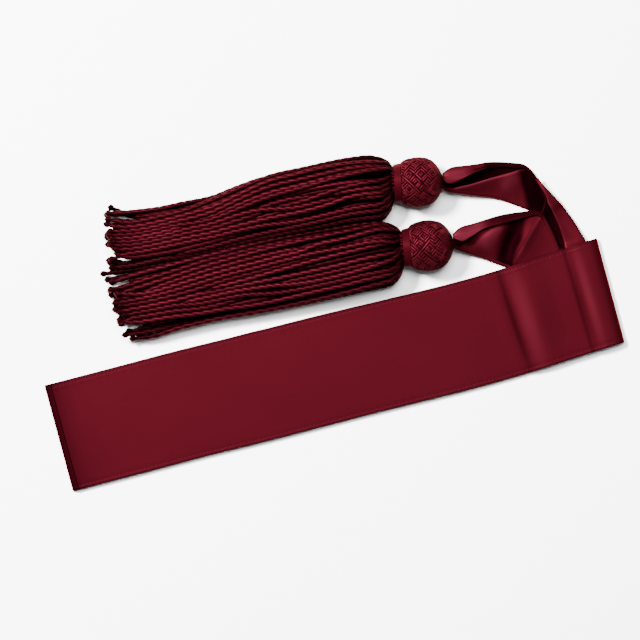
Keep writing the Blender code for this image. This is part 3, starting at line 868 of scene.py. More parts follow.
@dataclass
class Band:
    """The folded band: its top layer, the stitching in it and the layers under it."""

    length: float = 377.0
    width: float = 70.0
    centre: Place = (-0.2, -27.2)
    tilt: float = math.radians(15.1)
    left_roll: float = 9.0
    right_roll: float = 11.0
    cloth: float = 0.9
    edge_round: float = 0.45
    # rows and lines of the top layer
    row_spacing: float = 1.1
    inner_lines: int = 26
    inner_margin: float = 7.0
    end_calm: float = 6.0
    # stitching
    stitch_inset: float = 2.3
    stitch_margin: float = 14.0
    stitch_pitch: float = 2.5
    stitch_length: float = 1.9
    stitch_radius: float = 0.22
    stitch_seat: float = 0.02
    stitch_arch: float = 0.16
    stitch_rings: int = 5
    stitch_sides: int = 6
    stitch_tone: float = 0.7
    # slight relief of the cloth along its edges
    groove_depth: float = 0.05
    groove_width: float = 0.5
    lip: float = 0.03
    lip_place: float = 1.2
    lip_width: float = 0.6
    pucker: Ripple = Ripple(0.07, 0.9, 4.0)
    pucker_reach: float = 2.2
    pucker_share: float = 0.6
    pucker_swells: tuple[Ripple, Ripple] = (Ripple(0.4, 13.0, 1.0), Ripple(1.0, 31.0, 2.0))
    edge_wave: Ripple = Ripple(0.10, 17.0, 1.3)
    edge_wave_reach: float = 9.0
    edge_bends: tuple[Ripple, ...] = (Ripple(0.18, 41.0, 1.0, 1.0), Ripple(0.1, 17.0, 2.0))
    edge_bend_reach: float = 5.0
    sway: Ripple = Ripple(0.05, 23.0)
    sway_width: float = 11.0
    # painted shade at the ends, along the edges and the seam, and painted shade and painted highlights
    # across the folds
    end_shade: float = 0.8
    end_reach: float = 9.0
    edge_shade: float = 0.55
    edge_shade_reach: float = 0.9
    roll_shade_reach: float = 1.8
    seam_shade: float = 0.10
    seam_shade_place: float = 4.2
    seam_shade_reach: float = 0.7
    shades: tuple[Crease, ...] = (
        Crease((118.9, 35.0), (123.1, -35.0), 2.3, 0.58),
        Crease((166.4, 33.0), (167.8, -35.0), 2.6, 0.40),
        Crease((146.0, 30.0), (150.0, -30.0), 9.0, 0.10),
        Crease((129.0, 33.0), (132.0, -33.0), 5.0, -0.22),
        Crease((172.5, 34.0), (174.5, -34.0), 3.4, -0.26),
    )
    # hidden layers
    layer_height: float = 1.0
    layer_gap: float = 0.04
    layer_round: float = 0.48
    layer_lines: int = 7
    layer_margin: float = 8.0
    layer_rows: int = 90
    layer_end_margin: float = 4.0
    layer_bends: tuple[Ripple, ...] = (Ripple(0.16, 19.0, 2.0), Ripple(0.1, 7.3, 1.0))
    layer_bend_reach: float = 6.0
    layer_shade: float = 0.6
    layer_shade_reach: float = 1.6
    layer_shortfall: float = 6.0
    # creases of the top layer
    creases: tuple[Crease, ...] = (
        Crease((104.0, 32.0), (113.0, -30.0), 5.0, -0.22),
        Crease((137.0, 33.0), (140.0, -33.0), 5.0, 0.3),
        Crease((150.0, 30.0), (153.0, -20.0), 4.0, -0.25),
        Crease((-168.0, 34.0), (-166.0, -34.0), 5.0, 0.18),
        Crease((-60.0, 20.0), (-20.0, -26.0), 16.0, 0.14),
        Crease((30.0, 30.0), (64.0, -10.0), 14.0, -0.12),
        Crease((-140.0, -10.0), (-95.0, 26.0), 15.0, -0.12),
    )

    def placed(self, along: np.ndarray, across: np.ndarray, height: np.ndarray) -> np.ndarray:
        """Points of the whole from their places along and across the tilted band.

        Args:
            along: places along it.
            across: places across it.
            height: heights above the floor.

        Returns:
            The points, in millimetres.
        """
        along, across = np.broadcast_arrays(along, across)
        bend = np.array(BAND_BEND)
        places = np.interp(along.ravel(), bend[:, 0], np.arange(len(bend)))
        edges = on_curve(BAND_BEND, places)
        near, far = (edges[:, i].reshape(along.shape) for i in (1, 2))
        across = across + (near + far) / 2 + (far - near) * across / self.width
        x = self.centre[0] + along * math.cos(self.tilt) - across * math.sin(self.tilt)
        y = self.centre[1] + along * math.sin(self.tilt) + across * math.cos(self.tilt)
        return np.stack(np.broadcast_arrays(x, y, height), axis=-1)

    def long_profile(self) -> np.ndarray:
        """Evenly spaced rows along the top layer: along, height, lean and length so far.

        Returns:
            One row for each place.
        """
        half = self.length / 2
        left_height, right_height = BAND_PROFILE[0][1], BAND_PROFILE[-1][1]
        left = [(share * self.left_roll - half, up * left_height, 0.0) for share, up in FOLD_END]
        right = [(half - share * self.right_roll, up * right_height, 0.0) for share, up in FOLD_END]
        rows = left + list(BAND_PROFILE) + right[::-1]
        fine = on_curve(rows, np.linspace(0, len(rows) - 1, CURVE_STEPS * len(rows)))
        run = length_so_far(fine[:, :2])
        wanted = np.linspace(0, run[-1], int(run[-1] / self.row_spacing))
        return np.column_stack([at_lengths(run, fine, wanted), wanted])

    def cross_lines(self) -> np.ndarray:
        """Lines across the band, close together at the edges and their stitching.

        Returns:
            Their places across it, from the near edge to the far one.
        """
        edge = np.array(TOP_EDGE_LINES)
        half = self.width / 2
        inner = np.linspace(self.inner_margin - half, half - self.inner_margin, self.inner_lines)
        return np.concatenate([edge - half, inner, (half - edge)[::-1]])

    @staticmethod
    def flat_places(profile: np.ndarray, lines: np.ndarray) -> np.ndarray:
        """Places along and across the straight band, rows by lines by 2."""
        along = profile[:, 0:1] - profile[:, 2:3] * lines[None, :]
        return np.stack(np.broadcast_arrays(along, lines[None, :]), axis=-1)

    def relief(self, run: np.ndarray, inside: np.ndarray, side: np.ndarray) -> np.ndarray:
        """Lift of the cloth round its edge stitching.

        Args:
            run: length along the band.
            inside: distance from the nearer long edge.
            side: -1 on the near edge and 1 on the far one.

        Returns:
            The lift at each point.
        """
        stitched = inside - self.stitch_inset
        groove = -self.groove_depth * fading(stitched, self.groove_width)
        lip = self.lip * fading(inside - self.lip_place, self.lip_width)
        first, second = (swell.at(run, side) for swell in self.pucker_swells)
        puckered = (self.pucker_share + first * second) * fading(stitched, self.pucker_reach)
        wave = self.edge_wave.at(run, side) * fading(inside, self.edge_wave_reach, 1.0)
        return groove + lip + self.pucker.at(run, side) * puckered + wave

    def surface(self, profile: np.ndarray, lines: np.ndarray) -> np.ndarray:
        """Outer surface of the top layer.

        Args:
            profile: rows along the band.
            lines: places across it.

        Returns:
            The grid of points, in millimetres.
        """
        places = self.flat_places(profile, lines)
        inside = self.width / 2 - np.abs(lines)[None, :]
        side = np.sign(lines)[None, :]
        run = profile[:, 3:4]
        from_end = self.length / 2 - np.abs(profile[:, 0:1])
        lift = sum(crease.lift_and_light(places) for crease in self.creases)
        lift = lift + self.relief(run, inside, side)
        lift = lift + self.sway.at(run, 0.0) * np.cos(lines[None, :] / self.sway_width)
        bend = sum(ripple.at(run, side) for ripple in self.edge_bends)
        across = lines[None, :] + side * bend * fading(inside, self.edge_bend_reach, 1.0)
        height = profile[:, 1:2] + lift * eased(ramp(from_end, self.end_calm))
        return self.placed(places[:, :, 0], across, height)

    def build_top(self, satin: bpy.types.Material) -> bpy.types.Object:
        """Top layer of satin, rolled down at both ends.

        Args:
            satin: its material.

        Returns:
            The piece.
        """
        profile = self.long_profile()
        lines = self.cross_lines()
        outer = self.surface(profile, lines)
        inside = self.width / 2 - np.abs(lines)[None, :]
        thickness = np.broadcast_to(rounded(self.cloth, inside, self.edge_round), outer.shape[:2])
        normals = grid_normals(outer)
        normals = normals * np.sign(normals[:, :, 2:3].mean())
        piece = cloth_shell("band_satin", outer - normals * self.cloth / 2, thickness, satin)
        # Painted shade at the left end, along the edges, at the right roll and beside the seam, with
        # painted shade and painted highlights across the folds.
        from_left = profile[:, 0:1] + self.length / 2
        from_right = self.length / 2 - profile[:, 0:1]
        places = self.flat_places(profile, lines)
        depth = sum(shade.lift_and_light(places) for shade in self.shades)
        depth = depth + self.end_shade * fading(from_left, self.end_reach, 1.0)
        depth = depth + self.edge_shade * fading(inside, self.edge_shade_reach)
        depth = depth + self.edge_shade * fading(from_right, self.roll_shade_reach)
        depth = depth + self.seam_shade * fading(inside - self.seam_shade_place, self.seam_shade_reach)
        set_painted_shade(piece, depth)
        return keep(piece, Slot.SATIN, "band_top")

    def build_stitching(self, thread: bpy.types.Material) -> bpy.types.Object:
        """Two rows of short stitches that sink into the grooves along the edges.

        Args:
            thread: their material.

        Returns:
            The piece.
        """
        profile = self.long_profile()
        run = profile[:, 3]
        starts = np.arange(self.stitch_margin, run[-1] - self.stitch_margin, self.stitch_pitch)
        shares = np.linspace(0, 1, self.stitch_rings)
        arch = self.stitch_seat + self.stitch_arch * np.sin(np.pi * shares)
        radii = self.stitch_radius * tapered(shares, margin=0.1)
        points = []
        faces = []
        for side in (-1, 1):
            line = side * (self.width / 2 - self.stitch_inset)
            middle = self.surface(profile, np.array([line]))[:, 0, :]
            for start in starts:
                centres = at_lengths(run, middle, start + shares * self.stitch_length)
                centres[:, 2] += arch
                tube = tube_rings(centres, radii, self.stitch_sides).reshape(-1, 3)
                faces += tube_faces(self.stitch_rings, self.stitch_sides, len(points) * len(tube))
                points.append(tube)
        flat = np.concatenate(points)
        piece = new_piece("band_stitching", flat, faces, thread)
        set_shade(piece, np.full(len(flat), self.stitch_tone))
        return keep(piece, Slot.SATIN)

    def build_layers(self, satin: bpy.types.Material) -> bpy.types.Object:
        """The hidden layers: three folded layers with soft uneven edges.

        Args:
            satin: their material.

        Returns:
            The piece.
        """
        edge = np.array(LAYER_EDGE_LINES)
        half = self.width / 2
        inner = half - self.layer_margin
        shells = []
        for layer, (near_inset, far_inset, end_inset) in enumerate(HIDDEN_LAYERS):
            half_length = self.length / 2 - end_inset
            inner_length = half_length - self.layer_end_margin
            lines = np.concatenate([
                edge - half + near_inset,
                np.linspace(-inner, inner, self.layer_lines),
                (half - far_inset - edge)[::-1],
            ])
            places = np.concatenate([
                edge - half_length,
                np.linspace(-inner_length, inner_length, self.layer_rows),
                (half_length - edge)[::-1],
            ])
            inside_across = np.minimum(lines - lines[0], lines[-1] - lines)[None, :]
            inside_along = np.minimum(places - places[0], places[-1] - places)[:, None]
            inside = np.minimum(inside_across, inside_along)
            thickness = rounded(self.layer_height - self.layer_gap, inside, self.layer_round)
            bend = sum(ripple.at(places[:, None], layer) for ripple in self.layer_bends)
            across = lines[None, :] + bend * fading(inside_across, self.layer_bend_reach, 1.0)
            height = np.full((len(places), 1), (layer + 0.5) * self.layer_height)
            middle = self.placed(places[:, None], across, height)
            shell = cloth_shell(f"band_layer_{layer}", middle, thickness, satin)
            shade = self.layer_shade * fading(inside_along, self.layer_shade_reach)
            set_painted_shade(shell, np.broadcast_to(shade, middle.shape[:2]))
            shells.append(shell)
        return keep(joined("band_layers", shells), Slot.LAYERS, "band_under")

    def build(self, satin: bpy.types.Material, layers: bpy.types.Material,
              thread: bpy.types.Material) -> list[bpy.types.Object]:
        """All pieces of the band.

        Args:
            satin: material of the top layer.
            layers: material of the layers under it.
            thread: material of the stitching.

        Returns:
            The pieces.
        """
        top = self.build_top(satin)
        stitching = self.build_stitching(thread)
        under = self.build_layers(layers)
        return [top, stitching, under]


def joined(name: str, pieces: list[bpy.types.Object]) -> bpy.types.Object:
    """Pieces joined into one object.

    Args:
        name: the new name.
        pieces: the pieces.

    Returns:
        The first piece, which now holds them all.
    """
    bpy.ops.object.select_all(action="DESELECT")
    for piece in pieces:
        piece.select_set(True)
    bpy.context.view_layer.objects.active = pieces[0]
    bpy.ops.object.join()
    pieces[0].name = name
    pieces[0].data.name = name
    return pieces[0]


def frames_along(centres: np.ndarray) -> tuple[np.ndarray, np.ndarray]:
    """Two unit vectors across a line at each of its points.

    Args:
        centres: points of the line.

    Returns:
        A level vector across the line, and one at right angles to both.
    """
    tangent = unit(np.gradient(centres, axis=0))
    level = unit(np.cross(tangent, UP))
    return level, np.cross(level, tangent)


def ring_angles(sides: int) -> np.ndarray:
    """Angles of the points round a ring."""
    return 2 * np.pi * np.arange(sides) / sides


def ring_spokes(first: np.ndarray, second: np.ndarray, angles: np.ndarray) -> np.ndarray:
    """Unit vectors from the points of a line to the rings round them.

    Args:
        first: vector across the line at each point, where the angle is 0.
        second: the vector across it at right angles to that.
        angles: angles round each ring, for all rings or for each.

    Returns:
        The vectors, rings by sides by 3.
    """
    return first[:, None, :] * np.cos(angles)[..., None] + second[:, None, :] * np.sin(angles)[..., None]


def tube_rings(centres: np.ndarray, radii: np.ndarray, sides: int) -> np.ndarray:
    """Rings of a round tube.

    Args:
        centres: points of its centreline.
        radii: its radius at each of them.
        sides: points in a ring.

    Returns:
        The rings, points by sides by 3.
    """
    spokes = ring_spokes(*frames_along(centres), ring_angles(sides))
    return centres[:, None, :] + spokes * radii[:, None, None]


def tube_faces(rings: int, sides: int, offset: int) -> list[list[int]]:
    """Faces of a tube with closed ends.

    Args:
        rings: how many rings it has.
        sides: points in a ring.
        offset: number of its first point.

    Returns:
        The faces.
    """
    here = np.arange(sides)
    after = (here + 1) % sides
    base = offset + np.arange(rings - 1)[:, None] * sides
    quads = np.stack([base + here, base + sides + here, base + sides + after, base + after], axis=2)
    faces = quads.reshape(-1, 4).tolist()
    faces.append((offset + here).tolist())
    faces.append((offset + (rings - 1) * sides + here[::-1]).tolist())
    return faces


def tube_rings_about(centres: np.ndarray, axis: np.ndarray, radius: float, sides: int) -> np.ndarray:
    """Rings of a tube that winds round an axis.

    Args:
        centres: points of its centreline.
        axis: unit vector of the axis.
        radius: the tube's radius.
        sides: points in a ring.

    Returns:
        The rings, points by sides by 3.
    """
    tangent = unit(np.gradient(centres, axis=0))
    outward = unit(np.cross(tangent, axis))
    spokes = ring_spokes(outward, np.cross(tangent, outward), ring_angles(sides))
    return centres[:, None, :] + spokes * radius


def drop_closing_edge(piece: bpy.types.Object, count: int) -> None:
    """Open a ring of points into a line.

    Args:
        piece: the ring, its points in order.
        count: how many points it has.
    """
    bpy.ops.object.mode_set(mode="EDIT")
    bpy.ops.mesh.select_mode(type="EDGE")
    bpy.ops.mesh.select_all(action="DESELECT")
    bpy.ops.object.mode_set(mode="OBJECT")
    for edge in piece.data.edges:
        edge.select = set(edge.vertices) == {0, count - 1}
    bpy.ops.object.mode_set(mode="EDIT")
    bpy.ops.mesh.delete(type="EDGE_FACE")
    bpy.ops.mesh.select_mode(type="VERT")
    bpy.ops.object.mode_set(mode="OBJECT")


@dataclass
class Tail:
    """One stretch of a tail: doubled satin that turns back over itself at its sides."""

    name: str
    node: str
    rows: tuple
    creases: tuple[Crease, ...]
    # painted shade and painted highlights on the tail's layers
    painted_shades: tuple[PaintedShade, ...]
    flat: Place
    rests_on: tuple[str, ...] = ()
    steps: int = 120
    far_turn: bool = True
    cloth: float = 0.7
    hem: float = 0.16
    hem_place: float = 0.6
    hem_width: float = 0.45
    edge_round: float = 0.4
    least_height: float = 0.8
    free_height: float = 2.5
    far_stretch: float = 1.6
    least_flap: float = 0.3
    least_side: float = 0.2
    front_steps: int = 16
    turn_steps: int = 10
    bottom_steps: int = 16
    back_steps: int = 12

    def section(self, rows: np.ndarray) -> np.ndarray:
        """Points of each section, from the front flap's free edge round to the back's.

        Args:
            rows: smoothed rows of the tail's table.

        Returns:
            The grid of points, in millimetres.
        """
        value = dict(zip(TAIL_COLUMNS, rows.T))
        low = np.stack([value["low_x"], value["low_y"]], axis=1)
        across = np.stack([value["far_x"], value["far_y"]], axis=1) - low
        width = np.linalg.norm(across, axis=1)
        across = across / width[:, None]
        low_r = value["low_r"]
        far_r = value["far_r"]
        reach = far_r * self.far_stretch
        front_x = value["front"] * width
        side_x = width - np.maximum(reach, self.least_side)
        path = []
        for t in np.linspace(1, 0, self.front_steps, endpoint=False):
            rise = (value["front_z"] - 2 * low_r) * eased(t)
            path.append((low_r + (front_x - low_r) * t, 2 * low_r + rise))
        for angle in np.radians(np.linspace(90, 270, self.turn_steps + 1)):
            path.append((low_r + low_r * np.cos(angle), low_r + low_r * np.sin(angle)))
        for t in np.linspace(0, 1, self.bottom_steps + 1)[1:-1]:
            path.append((low_r + (side_x - low_r) * t, value["swell"] * np.sin(np.pi * t)))
        if self.far_turn:
            for angle in np.radians(np.linspace(-90, 90, self.turn_steps + 1)):
                path.append((width - reach + reach * np.cos(angle), far_r + far_r * np.sin(angle)))
            back_x = width - np.maximum(value["back"] * width, reach + self.least_flap)
            for t in np.linspace(0, 1, self.back_steps + 1)[1:]:
                rise = (value["back_z"] - 2 * far_r) * eased(t)
                path.append((width - reach + (back_x - width + reach) * t, 2 * far_r + rise))
        else:
            path.append((width, np.zeros_like(width)))
        x = np.stack([p[0] for p in path], axis=1)
        z = np.stack([p[1] for p in path], axis=1)
        share = np.clip(x / width[:, None], 0.0, 1.0)
        floor = value["low_z"][:, None] * (1 - share) + value["far_z"][:, None] * share
        plan = low[:, None, :] + across[:, None, :] * x[:, :, None]
        return np.concatenate([plan, (floor + z)[:, :, None]], axis=2)

    def layers(self) -> np.ndarray:
        """Layer of each column of the section.

        Returns:
            The layers, from the front flap to the back.
        """
        half_turn = self.turn_steps // 2
        front = self.front_steps + half_turn
        bottom = self.turn_steps + 1 - half_turn + self.bottom_steps - 1
        back = 1
        if self.far_turn:
            bottom += half_turn
            back = self.turn_steps + 1 - half_turn + self.back_steps
        return np.array([Fold.FRONT] * front + [Fold.BOTTOM] * bottom + [Fold.BACK] * back)

    def creased(self, points: np.ndarray) -> np.ndarray:
        """The grid with its creases, which never push it into the surface below.

        Args:
            points: the grid.

        Returns:
            The creased grid.
        """
        lift = sum(crease.lift_and_light(points) for crease in self.creases)
        height = points[:, :, 2]
        room = ramp(height, self.free_height, self.least_height)
        made = points.copy()
        made[:, :, 2] = height + np.where(lift < 0, lift * room, lift)
        return made

    def build(self, satin: bpy.types.Material) -> bpy.types.Object:
        """The stretch as one closed shell.

        Args:
            satin: its material.

        Returns:
            The piece.
        """
        rows = on_curve(self.rows, np.linspace(0, len(self.rows) - 1, self.steps + 1))
        middle = self.creased(self.section(rows))
        run = run_lengths(middle, 1)
        inside = np.minimum(run, run[:, -1:] - run)
        bead = self.hem * fading(inside - self.hem_place, self.hem_width)
        thickness = rounded(self.cloth, inside, self.edge_round) + bead * ramp(inside, self.edge_round)
        piece = cloth_shell(self.name, middle, thickness, satin)
        # Painted shade and painted highlights on the tail's layers.
        set_painted_shade(piece, sum(painted_shade.painted_shade_at(middle, self.layers()) for painted_shade in self.painted_shades))
        keep(piece, Slot.SATIN, self.node)
        LOG.info("%s: %.0f mm long, %.0f mm wide on average", self.name,
                 run_lengths(middle, 0)[-1].mean(), run[:, -1].mean())
        return piece


@dataclass
class TasselPart:
    """Something round the level axis of a tassel, which runs through its ball."""

    side: str
    start: Place
    end: Place
    scale: float
    rng: np.random.Generator
    origin: np.ndarray = field(init=False)
    direction: np.ndarray = field(init=False)
    level: np.ndarray = field(init=False)
    length: float = field(init=False)

    def __post_init__(self) -> None:
        """Set the axis from the two ends of the ball."""
        self.origin = np.array([*self.start, AXIS_HEIGHT])
        run = np.array([*self.end, AXIS_HEIGHT]) - self.origin
        self.length = float(np.linalg.norm(run))
        self.direction = run / self.length
        self.level = np.array([-self.direction[1], self.direction[0], 0.0])

    def turned(self, along: np.ndarray, radius: np.ndarray, angle: np.ndarray) -> np.ndarray:
        """Points round the axis; an angle of 0 lies straight below it."""
        spoke = self.level * np.sin(angle)[..., None] - UP * np.cos(angle)[..., None]
        return self.origin + self.direction * along[..., None] + spoke * radius[..., None]


@dataclass
class NettedBall(TasselPart):
    """A round core with a net of two families of threads over it."""

    turned_sides: int = 96
    outline_points: int = 40
    core_inset: float = 0.75
    core_least: float = 0.2
    core_floor: float = 0.375
    # painted shade of the core, seen between the threads of the net
    core_shade: float = 0.05
    net_threads: int = 41
    net_twist: float = 2.2
    net_radius: float = 0.48
    net_sink: float = 0.9
    net_lift: float = 0.42
    net_rings: int = 92
    net_sides: int = 6
    net_jitter: float = 0.08
    net_sway: float = 6.0
    net_steepness: float = 2.0
    net_middle: float = 0.45
    net_floor: float = 0.02
    net_full_radius: float = 12.0
    net_thinnest: float = 0.3
    net_calm: float = 0.6
    net_calm_start: float = 0.62
    net_calm_length: float = 0.25
    # painted shade of the net: threads under others, the calm margins, the low side of the ball and
    # sides that face away are darker
    net_over_shade: Place = (0.25, 0.8)
    net_least_shade: float = 0.01
    net_calm_shade: float = 0.35
    net_low_shade: float = 0.15
    net_lit_height: float = 1.5
    net_tone: float = 1.1
    net_tones: Place = (0.8, 1.2)
    net_facing: int = 4

    def outline(self, count: int) -> tuple[np.ndarray, np.ndarray]:
        """Evenly spaced points of the ball's outline: place along the axis, and radius.

        Args:
            count: how many points.

        Returns:
            The places and the radii.
        """
        rows = len(HEAD_PROFILE)
        fine = on_curve(HEAD_PROFILE, np.linspace(0, rows - 1, CURVE_STEPS * rows))
        fine = fine * (self.length / HEAD_PROFILE[-1][0], self.scale)
        run = length_so_far(fine)
        along, radius = at_lengths(run, fine, np.linspace(0, run[-1], count)).T
        return along, radius

    def build_core(self, material: bpy.types.Material) -> bpy.types.Object:
        """Ball under the net, spun from its outline about the tassel's axis.

        Args:
            material: its material.

        Returns:
            The ball.
        """
        bpy.ops.object.select_all(action="DESELECT")
        along, radius = self.outline(self.outline_points)
        radius = np.maximum(radius - self.core_inset, self.core_least)
        bpy.ops.mesh.primitive_circle_add(vertices=len(along), radius=MM, location=(0, 0, 0))
        ball = bpy.context.object
        ball.name = f"head_{self.side}_core"
        outline = self.turned(along, radius, np.zeros(len(along))) * MM
        for vertex, place in zip(ball.data.vertices, outline):
            vertex.co = place
        drop_closing_edge(ball, len(along))
        bpy.ops.object.mode_set(mode="EDIT")
        bpy.ops.mesh.select_all(action="SELECT")
        bpy.ops.mesh.spin(steps=self.turned_sides, angle=2 * math.pi, center=tuple(self.origin * MM),
                          axis=tuple(self.direction))
        bpy.ops.mesh.select_all(action="SELECT")
        bpy.ops.mesh.remove_doubles(threshold=MERGE)
        bpy.ops.mesh.select_all(action="DESELECT")
        bpy.ops.mesh.select_non_manifold()
        bpy.ops.mesh.edge_face_add()
        bpy.ops.mesh.select_all(action="SELECT")
        bpy.ops.mesh.normals_make_consistent(inside=False)
        bpy.ops.object.mode_set(mode="OBJECT")
        for vertex in ball.data.vertices:
            vertex.co.z = max(vertex.co.z, self.core_floor * MM)
        ball.data.materials.clear()
        ball.data.materials.append(material)
        bpy.ops.object.shade_smooth()
        set_shade(ball, np.full(len(ball.data.vertices), self.core_shade))
        return ball

    def net_shades_at(self, rings: np.ndarray, centres: np.ndarray, thickness: np.ndarray,
                     over: np.ndarray, calm: np.ndarray) -> np.ndarray:
        """Painted shade at each point of a thread of the net, before its own tone.

        Args:
            rings: the thread's rings.
            centres: points of its centreline.
            thickness: its radius at each of them.
            over: how far it lies over the other threads, from -1 to 1.
            calm: how strongly it rises and sinks.

        Returns:
            The painted shade at each point, rings by sides.
        """
        middle = self.origin + self.direction * self.length * self.net_middle
        spokes = (rings - centres[:, None, :]) / thickness[:, None, None]
        facing = np.clip(np.einsum("rsk,rk->rs", spokes, unit(centres - middle)), 0.0, 1.0)
        height = (centres[:, 2] - AXIS_HEIGHT) / self.outline(self.net_rings)[1].max()
        under_tone, over_tone = self.net_over_shade
        lit = np.clip(under_tone + over_tone * over, self.net_least_shade, 1.0)
        lit = lit * rising(self.net_calm_shade, calm)
        lit = lit * rising(self.net_low_shade, eased(np.clip(self.net_lit_height * height, 0.0, 1.0)))
        return self.net_tone * lit[:, None] * facing ** self.net_facing

    def build_net(self, material: bpy.types.Material) -> bpy.types.Object:
        """Two families of threads that wind round the ball over and under each other.

        Args:
            material: their material.

        Returns:
            The net.
        """
        along, radius = self.outline(self.net_rings)
        share = np.linspace(0, 1, self.net_rings)
        thin = np.clip(radius / (self.net_full_radius * self.scale), self.net_thinnest, 1.0)
        calm = thin * (1 - self.net_calm * ramp(share, self.net_calm_length, self.net_calm_start))
        seat = radius - self.net_radius * self.net_sink
        phases = self.rng.uniform(0, 2 * np.pi, len(NET_WAVES))
        points = []
        faces = []
        shades = []
        for family in (1, -1):
            for thread in range(self.net_threads):
                jitter = self.rng.normal(0.0, self.net_jitter)
                sway = self.net_jitter * np.sin(self.net_sway * share + self.rng.uniform(0, ANY_START))
                start = 2 * np.pi * (thread + jitter + sway) / self.net_threads
                angle = start + family * self.net_twist * share
                waves = [np.sin(turns * angle + swing * share + phase)
                         for (turns, swing), phase in zip(NET_WAVES, phases)]
                over = family * np.tanh(self.net_steepness * np.sum(waves, axis=0))
                centres = self.turned(along, seat + self.net_lift * over * calm, angle)
                thickness = self.net_radius * thin
                rings = tube_rings(centres, thickness, self.net_sides)
                tone = self.net_shades_at(rings, centres, thickness, over, calm)
                tone = tone * self.rng.uniform(*self.net_tones)
                faces += tube_faces(self.net_rings, self.net_sides, len(points) * tone.size)
                points.append(rings.reshape(-1, 3))
                shades.append(np.clip(tone, 0, 1).ravel())
        flat = np.concatenate(points)
        flat[:, 2] = np.maximum(flat[:, 2], self.net_floor)
        net = new_piece(f"head_{self.side}_net", flat, faces, material)
        set_shade(net, np.concatenate(shades))
        return net

    def build(self, knit: bpy.types.Material) -> bpy.types.Object:
        """Ball and net as one piece.

        Args:
            knit: their material.

        Returns:
            The piece.
        """
        piece = joined(f"head_{self.side}_netted", [self.build_core(knit), self.build_net(knit)])
        return keep(piece, Slot.KNIT, f"head_{self.side}")


@dataclass
class Binding(TasselPart):
    """Floss wound on a drum round the roots of the cords."""

    winding_gap: float = 0.3
    winding_start: float = 0.09
    winding_radius: float = 0.36
    winding_press: float = 1.1
    winding_swell: Place = (0.5, 0.75)
    winding_steps: int = 90
    winding_sides: int = 8
    winding_tone: float = 0.75
    windings: int = 7
    binding_length: float = 5.0
    binding_radius: float = 12.6
    drum_inset: float = 1.0
    drum_shortfall: float = 0.3
    drum_sides: int = 64
    drum_bevel: float = 0.4
    drum_bevel_steps: int = 3
    drum_smooth_angle: float = math.radians(40)
    # painted shade of the drum, seen between the windings
    drum_shade: float = 0.1

    def build_winding(self, floss: bpy.types.Material) -> bpy.types.Object:
        """Floss wound round the roots of the cords, turn beside turn.

        Args:
            floss: its material.

        Returns:
            The winding.
        """
        turns = np.linspace(0, self.windings, self.windings * self.winding_steps + 1)
        pitch = (self.binding_length - 2 * self.winding_radius) / self.windings
        along = -self.winding_start - self.winding_radius - pitch * turns
        ball_swell, cord_swell = self.winding_swell
        swell = ball_swell - cord_swell * turns / self.windings
        radius = self.binding_radius - self.winding_radius + swell
        centres = self.turned(along, radius, 2 * np.pi * turns)
        rings = tube_rings_about(centres, self.direction, self.winding_radius * self.winding_press,
                                 self.winding_sides)
        winding = new_piece(f"binding_{self.side}_winding", rings.reshape(-1, 3),
                            tube_faces(len(turns), self.winding_sides, 0), floss)
        set_shade(winding, np.full(len(turns) * self.winding_sides, self.winding_tone))
        return winding

    def build_drum(self, floss: bpy.types.Material) -> bpy.types.Object:
        """Round core that the floss is wound on.

        Args:
            floss: its material.

        Returns:
            The drum.
        """
        middle = self.origin - self.direction * (self.winding_gap + self.binding_length / 2)
        bpy.ops.object.select_all(action="DESELECT")
        bpy.ops.mesh.primitive_cylinder_add(
            vertices=self.drum_sides, radius=(self.binding_radius - self.drum_inset) * MM,
            depth=(self.binding_length - self.drum_shortfall) * MM, location=tuple(middle * MM),
            rotation=Vector(self.direction).to_track_quat("Z", "Y").to_euler(),
        )
        drum = bpy.context.object
        bpy.ops.object.mode_set(mode="EDIT")
        bpy.ops.mesh.select_all(action="SELECT")
        bpy.ops.mesh.bevel(offset=self.drum_bevel * MM, segments=self.drum_bevel_steps, affect="EDGES")
        bpy.ops.object.mode_set(mode="OBJECT")
        bpy.ops.object.transform_apply(location=True, rotation=True, scale=True)
        bpy.ops.object.shade_smooth_by_angle(angle=self.drum_smooth_angle)
        drum.data.materials.clear()
        drum.data.materials.append(floss)
        set_shade(drum, np.full(len(drum.data.vertices), self.drum_shade))
        return drum

    def build(self, floss: bpy.types.Material) -> bpy.types.Object:
        """Drum and winding as one piece.

        Args:
            floss: their material.

        Returns:
            The piece.
        """
        winding = self.build_winding(floss)
        piece = joined(f"binding_{self.side}_wound", [self.build_drum(floss), winding])
        return keep(piece, Slot.BINDING, f"binding_{self.side}")


